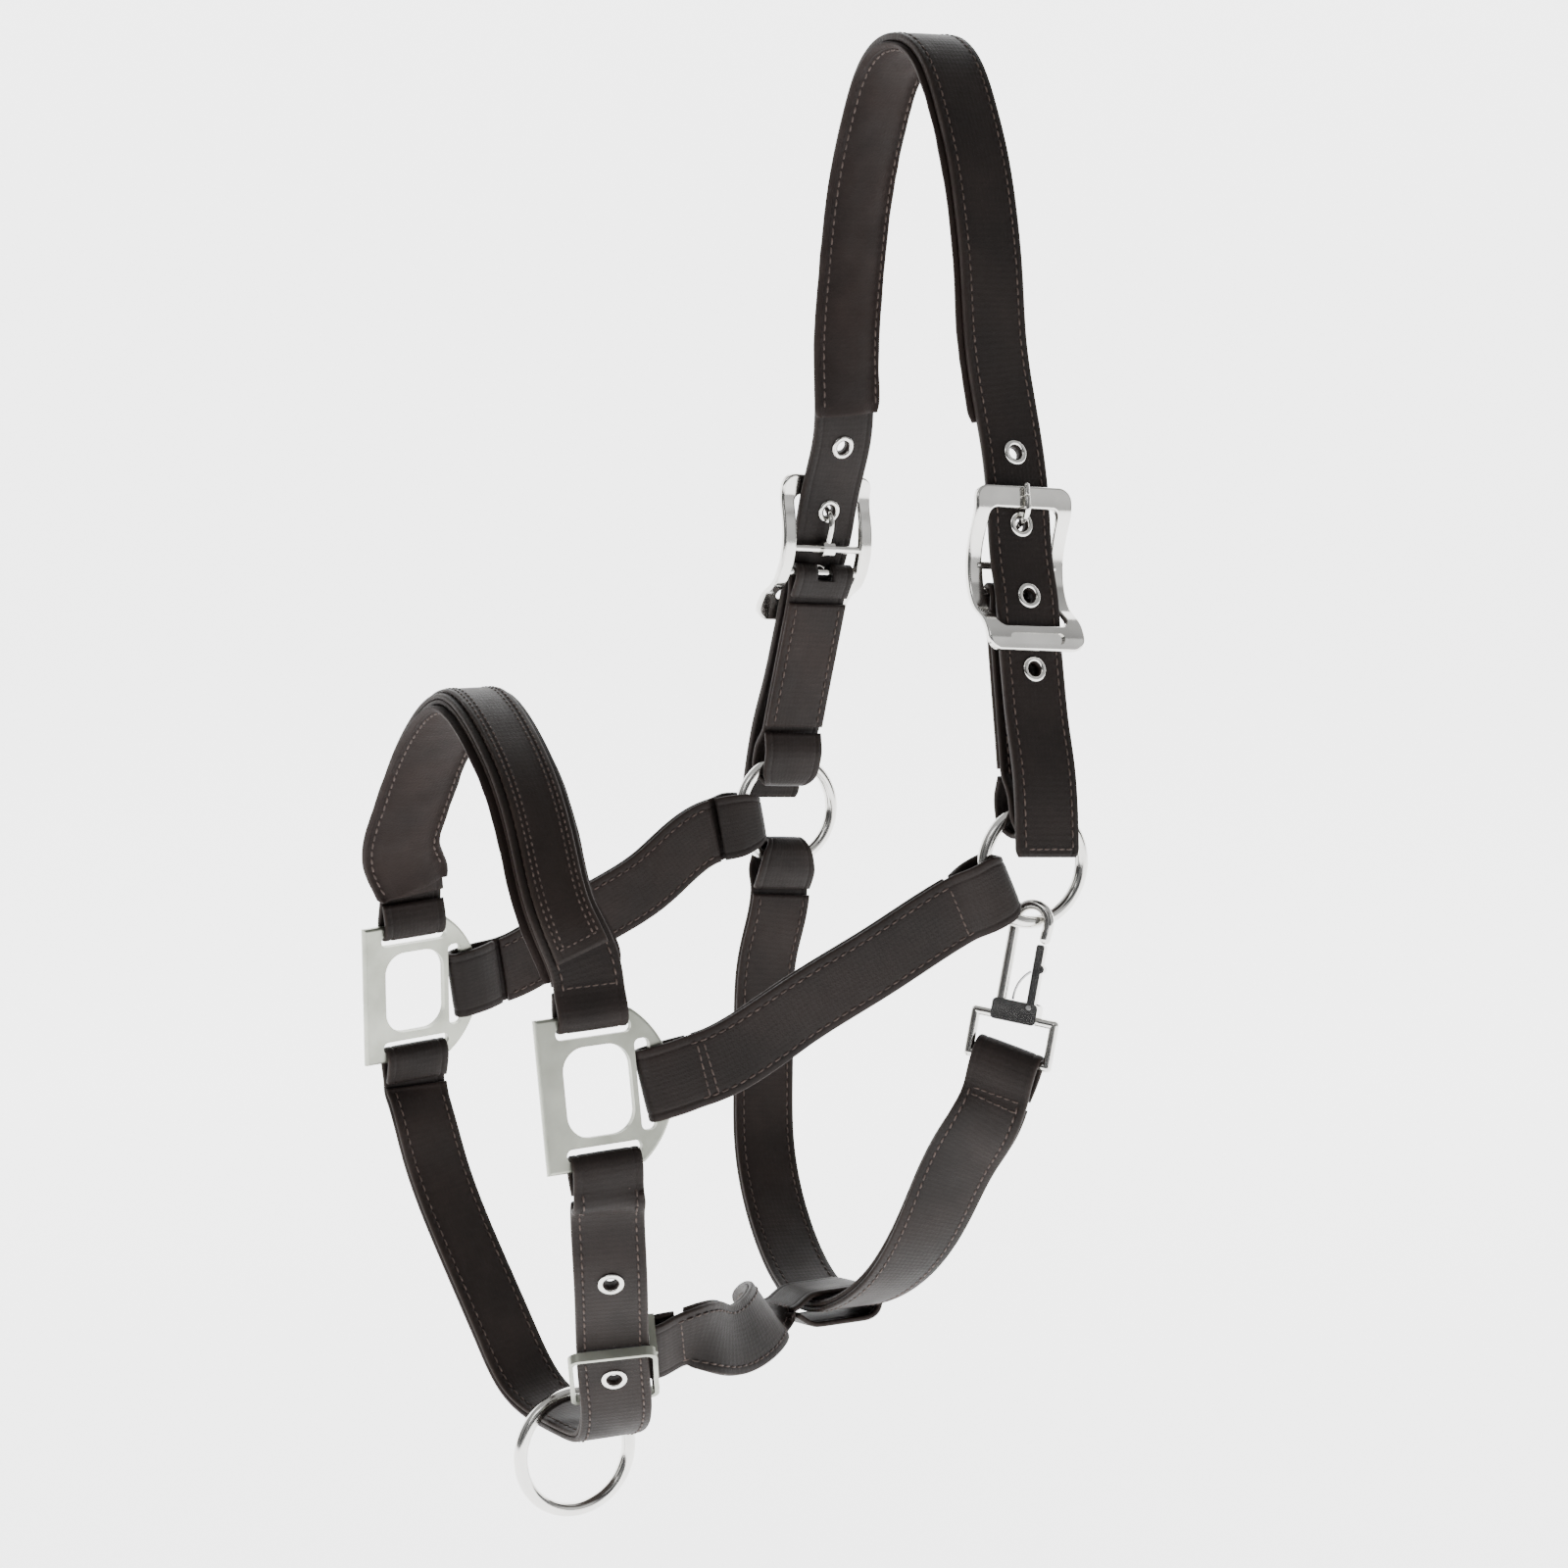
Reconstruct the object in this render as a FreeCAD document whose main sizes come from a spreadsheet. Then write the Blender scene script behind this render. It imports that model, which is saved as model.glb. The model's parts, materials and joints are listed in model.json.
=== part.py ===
import FreeCAD, Part
import math
import os
from FreeCAD import Placement, Rotation, Vector

# Leather headcollar as worn: +Z up, nose towards -Y, the horse's left (near) side towards +X.
# The origin is the underside of the crownpiece at the top of the poll.

SIZES = {
    "strap_width": 25,
    "layer": 2,              # one layer of strap leather
    "crown_layer": 3,        # the crownpiece is one thicker layer
    "crown_pad_width": 28,
    "crown_pad_layer": 4,
    "nose_pad_width": 30,
    "nose_pad_layer": 3.6,
    "overlay_width": 20,
    "overlay_layer": 1.4,
    "layer_gap": 0.06,
    "ring_mid_radius": 20.2,
    "ring_wire_radius": 2.3,
    "lead_mid_radius": 21.5,
    "lead_wire_radius": 2.5,
    "buckle_width": 39,
    "buckle_inner": 28,
    "bar_radius": 1.5,
    "tongue_radius": 1.1,
    "eyelet_hole": 2.7,
    "eyelet_flange": 4.7,
    "eyelet_rim": 0.7,
    "plate_layer": 3,
    "slide_width": 31,
    "slide_height": 35,
    "slide_depth": 3.4,
    "snap_wire_radius": 1.6,
    "gate_pin_radius": 0.9,
    "gate_pin_length": 6,
}

# Reference points of the layout.
RING = Vector(90, -5.5, -285)            # centre of the near cheek ring
BUCKLE = Vector(69.5, 0, -183.5)         # centre of the near buckle
NEAR_SQUARE = Vector(78.4, -168.5, -351.4)
FAR_SQUARE = Vector(-78.4, -168.5, -341.3)
UP = Vector(0, 0, 1)

doc = FreeCAD.newDocument("Headcollar")
sheet = doc.addObject("Spreadsheet::Sheet", "Sizes")
for row, (alias, value) in enumerate(SIZES.items(), start=1):
    sheet.set("A%d" % row, alias)
    sheet.set("B%d" % row, str(value))
    sheet.setAlias("B%d" % row, alias)
doc.recompute()

NODES = []


def size(alias):
    return float(getattr(sheet, alias))


def bind(obj, prop, expression):
    obj.setExpression(prop, expression)


def keep(obj, name):
    """Marks an object as one of the pieces that are written out."""
    obj.Label = name
    NODES.append(obj)
    return obj


def mirrored(point):
    return Vector(-point.x, point.y, point.z)


class Frame:
    """A place with three axes: a is the main direction, b lies across it, c = a x b."""

    def __init__(self, origin, a, b):
        self.origin = Vector(origin)
        self.a = Vector(a).normalize()
        across = Vector(b) - self.a * self.a.dot(Vector(b))
        self.b = across.normalize()
        self.c = self.a.cross(self.b)

    def at(self, a=0.0, b=0.0, c=0.0):
        return self.origin + self.a * a + self.b * b + self.c * c

    def placement(self):
        """Local X, Y, Z become a, b, c."""
        matrix = FreeCAD.Matrix(
            self.a.x, self.b.x, self.c.x, self.origin.x,
            self.a.y, self.b.y, self.c.y, self.origin.y,
            self.a.z, self.b.z, self.c.z, self.origin.z,
            0, 0, 0, 1)
        return Placement(matrix)


# ---------------------------------------------------------------- leather helpers

def curve_through(points):
    curve = Part.BSplineCurve()
    curve.interpolate([Vector(p) for p in points])
    return curve


def stations(points, across, count):
    """Frames along a smooth line; 'across' holds the strap's width direction at each point."""
    curve = curve_through(points)
    first, last = curve.FirstParameter, curve.LastParameter
    knots = [curve.parameter(Vector(p)) for p in points]
    result = []
    for i in range(count + 1):
        t = first + (last - first) * i / count
        k = 0
        while k < len(knots) - 2 and t > knots[k + 1]:
            k += 1
        blend = (t - knots[k]) / (knots[k + 1] - knots[k])
        wide = Vector(across[k]) * (1 - blend) + Vector(across[k + 1]) * blend
        result.append(Frame(curve.value(t), curve.tangent(t)[0], wide))
    return result


def ribbon(frames, width, thickness, offset=0.0):
    """A flat strap through the frames; offset moves it towards +c, the strap's face."""
    wires = []
    for f in frames:
        half = width / 2
        low, high = offset - thickness / 2, offset + thickness / 2
        corners = [f.at(0, -half, low), f.at(0, half, low), f.at(0, half, high), f.at(0, -half, high)]
        wires.append(Part.makePolygon(corners + corners[:1]))
    return Part.makeLoft(wires, True, True)


def eye(frame, width, reach, back, gap, wall, taper):
    """The sewn loop at a strap's end, round a bar that runs along b through the origin.

    a points to the fold; the hole runs from -back to +reach and is 'gap' high."""
    rise = gap / 2 + wall
    end = reach + wall
    tail = -back - taper
    outer = [
        Part.LineSegment(Vector(tail, 0, -wall), Vector(-back, 0, -rise)),
        Part.LineSegment(Vector(-back, 0, -rise), Vector(end - rise, 0, -rise)),
        Part.Arc(Vector(end - rise, 0, -rise), Vector(end, 0, 0), Vector(end - rise, 0, rise)),
        Part.LineSegment(Vector(end - rise, 0, rise), Vector(-back, 0, rise)),
        Part.LineSegment(Vector(-back, 0, rise), Vector(tail, 0, wall)),
        Part.LineSegment(Vector(tail, 0, wall), Vector(tail, 0, -wall)),
    ]
    r = gap / 2
    inner = [
        Part.LineSegment(Vector(-back + r, 0, -r), Vector(reach - r, 0, -r)),
        Part.Arc(Vector(reach - r, 0, -r), Vector(reach, 0, 0), Vector(reach - r, 0, r)),
        Part.LineSegment(Vector(reach - r, 0, r), Vector(-back + r, 0, r)),
        Part.Arc(Vector(-back + r, 0, r), Vector(-back, 0, 0), Vector(-back + r, 0, -r)),
    ]
    solids = []
    for edges in (outer, inner):
        wire = Part.Wire([e.toShape() for e in edges])
        face = Part.Face(wire)
        face.translate(Vector(0, -width / 2, 0))
        solids.append(face.extrude(Vector(0, width, 0)))
    body = solids[0].cut(solids[1])
    body.Placement = frame.placement()
    return body


def leather(name, shape):
    """Adds a leather piece as a feature with one clean solid."""
    obj = doc.addObject("Part::Feature", name)
    solids = shape.Solids
    obj.Shape = solids[0] if len(solids) == 1 else shape
    return keep(obj, name)


TAPER = 7.0        # length over which a loop closes onto the strap
TURN_IN = 1.0      # gap from a turned-in end to the lining
OVERLAP = 1.0      # loops and straps share this much before they are fused

RING_EYE = dict(reach=7.8, back=3.4, gap=6.9)
CHAPE_RING_EYE = dict(reach=9.4, back=3.8, gap=7.4)
CHAPE_SINK = -0.6        # the chape lies this far inside the hanger line at the ring
LOOP_SECTOR = 0.73       # half angle, in radians, that a loop takes up round a ring
BAR_EYE = dict(reach=2.0, back=2.3, gap=3.6)


def lined_strap(name, start, start_eye, end, end_eye, middle, across, lined=True):
    """A strap folded round something at both ends, with its lining between the turned-in ends."""
    layer = size("layer")
    width = size("strap_width")
    tail_a = start.at(-start_eye["back"] - TAPER)
    tail_b = end.at(-end_eye["back"] - TAPER)
    shared_a = start.at(-start_eye["back"] - TAPER + OVERLAP)
    shared_b = end.at(-end_eye["back"] - TAPER + OVERLAP)
    turn_a = start.at(-start_eye["back"] - TAPER - 4)
    turn_b = end.at(-end_eye["back"] - TAPER - 4)
    points = [shared_a, tail_a, turn_a] + middle + [turn_b, tail_b, shared_b]
    wide = [start.b * 1.0] * 3 + across + [end.b * 1.0] * 3
    frames = stations(points, wide, 4 + 3 * len(points))
    if lined:
        body = ribbon(frames, width, layer, layer / 2)
    else:
        body = ribbon(frames, width, 2 * layer)
    pieces = []
    for place, hole in ((start, start_eye), (end, end_eye)):
        pieces.append(eye(place, width, hole["reach"], hole["back"], hole["gap"], layer, TAPER))
    body = body.fuse(pieces).removeSplitter()
    leather(name, body)
    if lined:
        gap = size("layer_gap")
        inner = [f for f in frames if inside_ends(f, start, start_eye) and inside_ends(f, end, end_eye)]
        leather(name.replace("strap", "lining"), ribbon(inner, width, layer - gap, -(layer + gap) / 2))
    return frames


def inside_ends(frame, place, hole):
    """True beyond the turned-in end that starts at a loop."""
    return (frame.origin - place.origin).Length > hole["back"] + TAPER + TURN_IN


def clear_of(frame, start, end, distance):
    """True for a frame that is further than 'distance' from both ends of a strap."""
    return min((frame.origin - start.origin).Length, (frame.origin - end.origin).Length) > distance


# ---------------------------------------------------------------- the two hangers

def hanger(side):
    """Frame of a cheek hanger: origin at the top of the ring wire, a = up the strap."""
    top = RING + UP * size("ring_mid_radius")
    up = BUCKLE - top
    if side < 0:
        top = mirrored(top)
        up = mirrored(up)
    return Frame(top, up, Vector(0, -side, 0))


# c is the outward face: a x b with b = -Y on the near side points to +X.
HANGERS = {"near": hanger(1), "far": hanger(-1)}
BUCKLE_RISE = (BUCKLE - (RING + UP * size("ring_mid_radius"))).Length
BAR_DEPTH = -1.2         # buckle bars lie this far inside the hanger line
CHAPE_BAR = -8.0         # chape bar below the buckle's centre
TONGUE_BAR = 1.5         # tongue bar above the buckle's centre


def make_ring(name, centre, axis, mid, wire):
    ring = doc.addObject("Part::Torus", name)
    bind(ring, "Radius1", "Sizes." + mid)
    bind(ring, "Radius2", "Sizes." + wire)
    ring.Placement = Placement(centre, Rotation(UP, axis))
    return keep(ring, name)


def make_chape(side):
    h = HANGERS[side]
    low = Frame(h.at(0, 0, CHAPE_SINK), -h.a, h.b)
    high = Frame(h.at(BUCKLE_RISE + CHAPE_BAR, 0, BAR_DEPTH), h.a, h.b)
    layer = size("layer")
    width = size("strap_width")
    start = low.at(OVERLAP - CHAPE_RING_EYE["back"] - TAPER)
    stop = high.at(-BAR_EYE["back"] - TAPER + OVERLAP)
    frames = stations([start, (start + stop) * 0.5, stop], [h.b * 1.0] * 3, 4)
    body = ribbon(frames, width, 2 * layer)
    loops = [eye(low, width, CHAPE_RING_EYE["reach"], CHAPE_RING_EYE["back"], CHAPE_RING_EYE["gap"], layer, TAPER),
             eye(high, width, BAR_EYE["reach"], BAR_EYE["back"], BAR_EYE["gap"], layer, TAPER)]
    body = body.fuse(loops).removeSplitter()
    # The slot in the fold that lets the tongue swing past the chape.
    slot = Part.makeBox(12, 7, 20, Vector(-2.5, -3.5, -10))
    slot.Placement = high.placement()
    leather(side + "_chape", body.cut(slot))
    ease_corners(side + "_chape", ring_centre(side), UP * -1.0, Vector(0, 1, 0))


def ring_centre(side):
    return RING if side == "near" else mirrored(RING)


def trim(name, origin, normal):
    """Cuts away what lies beyond a plane through 'origin', near that point."""
    block = Part.makeBox(50, 50, 25, Vector(-25, -25, 0))
    block.Placement = Placement(origin, Rotation(UP, normal))
    strap = find(name)
    strap.Shape = strap.Shape.cut(block).Solids[0]


def ease_corners(name, centre, inward, across):
    """Rounds off a ring loop's two corners, so that the loops can shift round the ring."""
    for sense in (1, -1):
        trim(name, centre, across * sense * math.cos(LOOP_SECTOR) + inward * math.sin(LOOP_SECTOR))


# Height above the buckle's centre and depth of the buckle's side rails.
RAIL = [(29.0, 7.2), (24.5, 7.3), (20.5, 6.9), (13.0, 3.0), (4.0, -1.0), (-8.0, -1.2), (-14.0, 1.4), (-19.0, 6.6),
        (-23.0, 8.8), (-31.0, 9.0)]
RAIL_LAYER = 3.0


def make_buckle(side):
    """One casting: a bowed frame with a top bar, a tongue bar, a chape bar and a keeper bar."""
    h = HANGERS[side]
    f = Frame(h.at(BUCKLE_RISE), h.a, h.b)
    width = size("buckle_width")
    inner = size("buckle_inner")
    half = RAIL_LAYER / 2
    outside = curve_through([Vector(a, 0, c + half) for a, c in RAIL])
    inside = curve_through([Vector(a, 0, c - half) for a, c in RAIL])
    first, last = RAIL[0], RAIL[-1]
    caps = [Part.LineSegment(Vector(first[0], 0, first[1] - half), Vector(first[0], 0, first[1] + half)),
            Part.LineSegment(Vector(last[0], 0, last[1] - half), Vector(last[0], 0, last[1] + half))]
    edges = [outside.toShape(), caps[1].toShape(), inside.toShape(), caps[0].toShape()]
    face = Part.Face(Part.Wire(Part.__sortEdges__(edges)))
    face.translate(Vector(0, -width / 2, 0))
    band = face.extrude(Vector(0, width, 0))
    # Rounded outline seen from the front, and the opening between the top bar and the keeper.
    body = band.common(rounded_box(59, width, 60, 5.0, Vector(-30.5, -width / 2, -30)))
    body = body.cut(rounded_box(42, inner, 60, 3.0, Vector(-21.5, -inner / 2, -30)))
    radius = size("bar_radius")
    span = inner + 4
    bars = []
    for rise in (TONGUE_BAR, CHAPE_BAR):
        bars.append(Part.makeCylinder(radius, span, Vector(rise, -span / 2, BAR_DEPTH), Vector(0, 1, 0)))
    body = body.fuse(bars)
    # A blank oval panel sunk into the keeper bar.
    body = body.cut(rounded_box(4.0, 22, 2, 1.9, Vector(-28.2, -11, 9.9)))
    long_edges = [e for e in body.Edges if e.Length > 20.5]
    body = body.makeFillet(0.9, long_edges)
    obj = doc.addObject("Part::Feature", side + "_buckle_frame")
    body.Placement = f.placement()
    obj.Shape = body.Solids[0]
    keep(obj, side + "_buckle_frame")


def rounded_box(length, width, height, radius, corner):
    """A box with its four upright edges rounded; 'corner' is its lowest corner."""
    box = Part.makeBox(length, width, height)
    upright = [e for e in box.Edges if abs(e.tangentAt(e.FirstParameter).z) > 0.99]
    box = box.makeFillet(radius, upright)
    box.translate(corner)
    return box


TONGUE_LINE = [(1.5, -1.2), (8.0, -2.0), (13.6, -0.6), (15.6, 3.4), (17.0, 7.2), (19.6, 9.9), (23.6, 10.3), (28.2, 10.2)]


def make_tongue(side):
    """A bent pin whose rolled end turns on the tongue bar."""
    h = HANGERS[side]
    f = Frame(h.at(BUCKLE_RISE), h.a, h.b)
    radius = size("tongue_radius")
    bore = size("bar_radius") + 0.06
    roll = Part.makeCylinder(bore + 1.5, 5, Vector(TONGUE_BAR, -2.5, BAR_DEPTH), Vector(0, 1, 0))
    hole = Part.makeCylinder(bore, 7, Vector(TONGUE_BAR, -3.5, BAR_DEPTH), Vector(0, 1, 0))
    points = [Vector(a, 0, c) for a, c in TONGUE_LINE]
    line = curve_through(points)
    shank = round_sweep(line, radius)
    tip = Part.makeSphere(radius, points[-1])
    body = shank.fuse([tip, roll]).cut(hole)
    body.Placement = f.placement()
    obj = doc.addObject("Part::Feature", side + "_buckle_tongue")
    obj.Shape = body.Solids[0]
    keep(obj, side + "_buckle_tongue")


def round_sweep(curve, radius):
    """A round bar along a smooth line."""
    start = curve.FirstParameter
    circle = Part.Circle(curve.value(start), curve.tangent(start)[0], radius)
    profile = Part.Wire(circle.toShape())
    path = Part.Wire(curve.toShape())
    return path.makePipeShell([profile], True, True)


# ---------------------------------------------------------------- crownpiece

CROWN_HALF = [(0, 5.5), (11, 3.6), (21.5, -3.2), (32.6, -19.5), (41.2, -38), (47.2, -58), (51.2, -79), (54.8, -106)]
# Distance up the hanger and stand-off from the hanger line, from above the buckle to the free end.
HANGER_RUN = [(128, 2.2), (107, 3.6), (84, 3.8), (76, 5.0), (60, 5.2), (44, 5.6), (28, 6.6), (14, 8.4), (0, 8.6),
              (-18.5, 7.0)]
EYELET_RISES = [41.5, 15.5, -10.5, -36.5]    # crown eyelets, above the buckle's centre


def crown_line(side):
    sign = 1 if side == "near" else -1
    h = HANGERS[side]
    return [Vector(sign * x, 0, z) for x, z in CROWN_HALF], [h.at(a, 0, c) for a, c in HANGER_RUN]


def crown_frames():
    near_arch, near_run = crown_line("near")
    far_arch, far_run = crown_line("far")
    points = list(reversed(near_run)) + list(reversed(near_arch)) + far_arch[1:] + far_run
    wide = [HANGERS["near"].b] * len(near_run) + [Vector(0, -1, 0)] * (2 * len(CROWN_HALF) - 1)
    # The far hanger's b points the other way, so it is turned to keep one direction along the strap.
    wide += [HANGERS["far"].b * -1.0] * len(far_run)
    return stations(points, wide, 96)


def nearest_frame(frames, point):
    return min(frames, key=lambda f: (f.origin - point).Length)


def eyelet_place(side, rise, frames):
    """Frame of an eyelet on the crownpiece: c is the strap's outward face."""
    h = HANGERS[side]
    guess = h.at(BUCKLE_RISE + rise, 0, 4)
    f = nearest_frame(frames, guess)
    centre = f.origin + f.a * (guess - f.origin).dot(f.a)
    return Frame(centre, f.a, f.b)


def eyelet(frame, grip):
    """A flanged tube through the leather, with a rim on each face."""
    hole = size("eyelet_hole")
    flange = size("eyelet_flange")
    rim = size("eyelet_rim")
    top = grip / 2
    outer = Part.makeCylinder(hole + 0.5, grip + 0.2, Vector(0, 0, -top - 0.1))
    rims = []
    for z in (top, -top - rim):
        disc = Part.makeCylinder(flange, rim, Vector(0, 0, z))
        edges = [e for e in disc.Edges if abs(e.CenterOfMass.z - (z + rim if z > 0 else z)) < 0.01]
        rims.append(disc.makeFillet(rim * 0.6, edges))
    body = outer.fuse(rims).cut(Part.makeCylinder(hole, grip + 4, Vector(0, 0, -top - 2)))
    body.Placement = frame.placement()
    return body.Solids[0]


def eyelet_drill(frame, grip):
    """What an eyelet takes out of the leather: its hole, and seats for its two rims."""
    drill = Part.makeCylinder(size("eyelet_hole") + 0.6, 12, Vector(0, 0, -6))
    seats = [Part.makeCylinder(size("eyelet_flange") + 0.2, 3, Vector(0, 0, z))
             for z in (grip / 2 - 0.06, -grip / 2 + 0.06 - 3)]
    drill = drill.fuse(seats)
    drill.Placement = frame.placement()
    return drill


def make_crown():
    frames = crown_frames()
    grip = size("crown_layer") + 0.3
    width = size("strap_width")
    strap = ribbon(frames, width, size("crown_layer"))
    places = [eyelet_place(side, rise, frames) for side in ("near", "far") for rise in EYELET_RISES]
    leather("crown_strap", strap.cut([eyelet_drill(place, grip) for place in places]))
    eyelets = doc.addObject("Part::Feature", "crown_eyelets")
    eyelets.Shape = Part.makeCompound([eyelet(place, grip) for place in places])
    keep(eyelets, "crown_eyelets")
    pad = size("crown_pad_layer")
    inside = -(size("crown_layer") + pad) / 2 - size("layer_gap")
    padded = [f for f in frames if f.origin.z > -133]
    leather("crown_pad", ribbon(padded, size("crown_pad_width"), pad, inside))
    return frames


# ---------------------------------------------------------------- halter squares

SQUARE_TILT_V = Vector(0.08, 0.995, 0.06)      # rearwards along the near square
SQUARE_TILT_W = Vector(-0.10, -0.06, 0.99)     # upwards along the near square
STRAP_BAR = 24.0        # top and bottom bars, from the centre
CHEEK_BAR = 23.0        # middle of the rear flange, from the centre


def square_frame(side):
    """a = rearwards, b = up on the near side and down on the far side, c = outwards."""
    if side == "near":
        return Frame(NEAR_SQUARE, SQUARE_TILT_V, SQUARE_TILT_W)
    return Frame(FAR_SQUARE, mirrored(SQUARE_TILT_V), mirrored(SQUARE_TILT_W) * -1.0)


def make_square(side):
    """A cast plate with a window, three strap slots, a raised front rim and a half-round rear flange."""
    name = side + "_square"
    plate = size("plate_layer")
    tall = 26.0
    front = -20.5
    outline = [
        Part.LineSegment(Vector(14, tall, 0), Vector(front, tall, 0)),
        Part.LineSegment(Vector(front, tall, 0), Vector(front, -tall, 0)),
        Part.LineSegment(Vector(front, -tall, 0), Vector(14, -tall, 0)),
        Part.Arc(Vector(14, -tall, 0), Vector(27, 0, 0), Vector(14, tall, 0)),
    ]
    face = Part.Face(Part.Wire([e.toShape() for e in outline]))
    face.translate(Vector(0, 0, -plate / 2))
    body = face.extrude(Vector(0, 0, plate))
    rim_edges = [e for e in body.Edges if abs(e.CenterOfMass.z) > plate / 2 - 0.01]
    body = body.makeFillet(1.1, rim_edges)
    cuts = [
        rounded_box(24.2, 30.4, 10, 8.0, Vector(-12.1, -15.2, -5)),
        rounded_box(27, 4.4, 10, 2.1, Vector(-13.5, 18.2, -5)),
        rounded_box(27, 4.4, 10, 2.1, Vector(-13.5, -22.6, -5)),
        rounded_box(5.5, 31, 10, 2.1, Vector(13.9, -15.5, -5)),
    ]
    body = body.cut(cuts)
    # Raised rim along the front, longer than the plate at both ends.
    rim = rounded_box(56.5, 7.0, 4.0, 2.4, Vector(-28.25, 0, 0))
    rim.Placement = Placement(Vector(front - 2.2, 0, -2.2), Rotation(Vector(0, 1, 0), Vector(1, 0, 0), Vector(0, 0, 1), "YXZ"))
    edges = [e for e in rim.Edges if e.Length > 40]
    rim = rim.makeFillet(0.8, edges)
    body = body.fuse(rim)
    body.Placement = square_frame(side).placement()
    obj = doc.addObject("Part::Feature", name)
    obj.Shape = body.Solids[0]
    keep(obj, name)


# ---------------------------------------------------------------- noseband

NOSE_NEAR = [Vector(71, -177.5, -293), Vector(60, -178.5, -273), Vector(45.5, -178, -253),
             Vector(27.5, -178, -237.5), Vector(11, -178, -228.5)]
NOSE_TOP = Vector(0, -178, -226.2)
NOSE_FAR = [Vector(-11, -178, -228.5), Vector(-27, -178, -237.5), Vector(-44, -178, -252.5),
            Vector(-58, -178.5, -270.5), Vector(-69, -177.5, -288)]


def bar_frame(side, up):
    """Loop frame at a square's top bar (up=1) or bottom bar (up=-1): a points at the window."""
    f = square_frame(side)
    sense = up if side == "near" else -up
    origin = f.at(0, sense * STRAP_BAR, 0)
    return Frame(origin, f.b * -sense, f.a * 1.0)


STRAP_BAR_EYE = dict(reach=2.2, back=2.8, gap=3.9)


def make_noseband():
    start = bar_frame("near", 1)
    end = bar_frame("far", 1)
    layer = size("layer")
    width = size("strap_width")
    back = STRAP_BAR_EYE["back"] + TAPER
    points = [start.at(-back + OVERLAP), start.at(-back)] + NOSE_NEAR + [NOSE_TOP]
    points += NOSE_FAR + [end.at(-back), end.at(-back + OVERLAP)]
    wide = [start.b] * 2 + [Vector(0, 1, 0)] * (len(points) - 4) + [end.b] * 2
    frames = stations(points, wide, 44)
    body = ribbon(frames, width, 2 * layer)
    loops = []
    for place in (start, end):
        loops.append(eye(place, width, STRAP_BAR_EYE["reach"], STRAP_BAR_EYE["back"], STRAP_BAR_EYE["gap"],
                         layer, TAPER))
    leather("nose_strap", body.fuse(loops).removeSplitter())
    gap = size("layer_gap")
    # Along this line +c faces the nose, so the overlay lies on -c.
    padded = [f for f in frames if clear_of(f, start, end, 14)]
    pad = size("nose_pad_layer")
    top = size("overlay_layer")
    leather("nose_pad", ribbon(padded, size("nose_pad_width"), pad, layer + gap + pad / 2))
    covered = [f for f in frames if clear_of(f, start, end, 21)]
    leather("nose_overlay", ribbon(covered, size("overlay_width"), top, -layer - gap - top / 2))


# ---------------------------------------------------------------- cheekpieces

CHEEK_TURN = {"near": 0.0, "far": -0.18}      # radians the loop sits higher round the ring


def cheek_axis(side):
    """Where the cheekpiece leaves the square and where its loop meets the ring."""
    f = square_frame(side)
    at_square = f.at(CHEEK_BAR)
    centre = RING if side == "near" else mirrored(RING)
    run = centre - at_square
    angle = math.atan2(run.z, run.y) + CHEEK_TURN[side]
    flat = Vector(0, math.cos(angle), math.sin(angle))
    at_ring = centre - flat * size("ring_mid_radius")
    return f, at_square, at_ring, flat


def make_cheek(side):
    f, at_square, at_ring, flat = cheek_axis(side)
    run = (at_ring - at_square).normalize()
    sense = 1 if side == "near" else -1
    tilt = run * 0.4 + f.a * 0.6
    start = Frame(at_square, tilt * -1.0, f.b)
    tangent = Vector(0, -flat.z, flat.y)
    end = Frame(at_ring, Vector(run.x, flat.y, flat.z), tangent * sense)
    flange_eye = dict(reach=5.9, back=4.8, gap=4.0)
    first = start.at(-18)
    middle = [first + (at_ring - first) * part for part in (0.3, 0.6)]
    lined_strap(side + "_cheek_strap", start, flange_eye, end, RING_EYE, middle, [tangent * sense] * 2)
    ease_corners(side + "_cheek_strap", ring_centre(side), flat, tangent)
    strap = find(side + "_cheek_strap")
    strap.Shape = strap.Shape.cut(find(side + "_square").Shape).Solids[0]


# ---------------------------------------------------------------- chin strap, slide and lead ring

CHIN_NEAR = [Vector(78.5, -165, -391), Vector(70, -160.5, -411), Vector(57, -153.5, -436), Vector(44, -146.5, -460)]
CHIN_BEND = [Vector(31.5, -140, -480), Vector(21, -138, -487.5), Vector(5, -138, -489.5), Vector(-14, -138, -490)]
CHIN_FAR = [Vector(-33, -142, -484), Vector(-45, -148, -465), Vector(-60, -156, -435), Vector(-72.5, -163, -405),
            Vector(-79.5, -166.5, -383)]
CHIN_ACROSS = Vector(0.36, 0.93, 0.0)
LEAD_DROP = 11.7        # lead ring's centre below the strap's middle, with its wire clear of the edges
LEAD_AT = Vector(-6, -138, -490)


def make_chin():
    start = bar_frame("near", -1)
    end = bar_frame("far", -1)
    near_wide = [CHIN_ACROSS] * len(CHIN_NEAR)
    bend_wide = [Vector(0.25, 0.97, 0), Vector(0, 1, 0), Vector(0, 1, 0), Vector(0, 1, 0)]
    far_wide = [Vector(-0.1, 1, 0)] + [Vector(-0.15, 0.99, 0)] * 4
    middle = CHIN_NEAR + CHIN_BEND + CHIN_FAR
    frames = lined_strap("chin_strap", start, STRAP_BAR_EYE, end, STRAP_BAR_EYE, middle,
                         near_wide + bend_wide + far_wide)
    return frames


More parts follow.
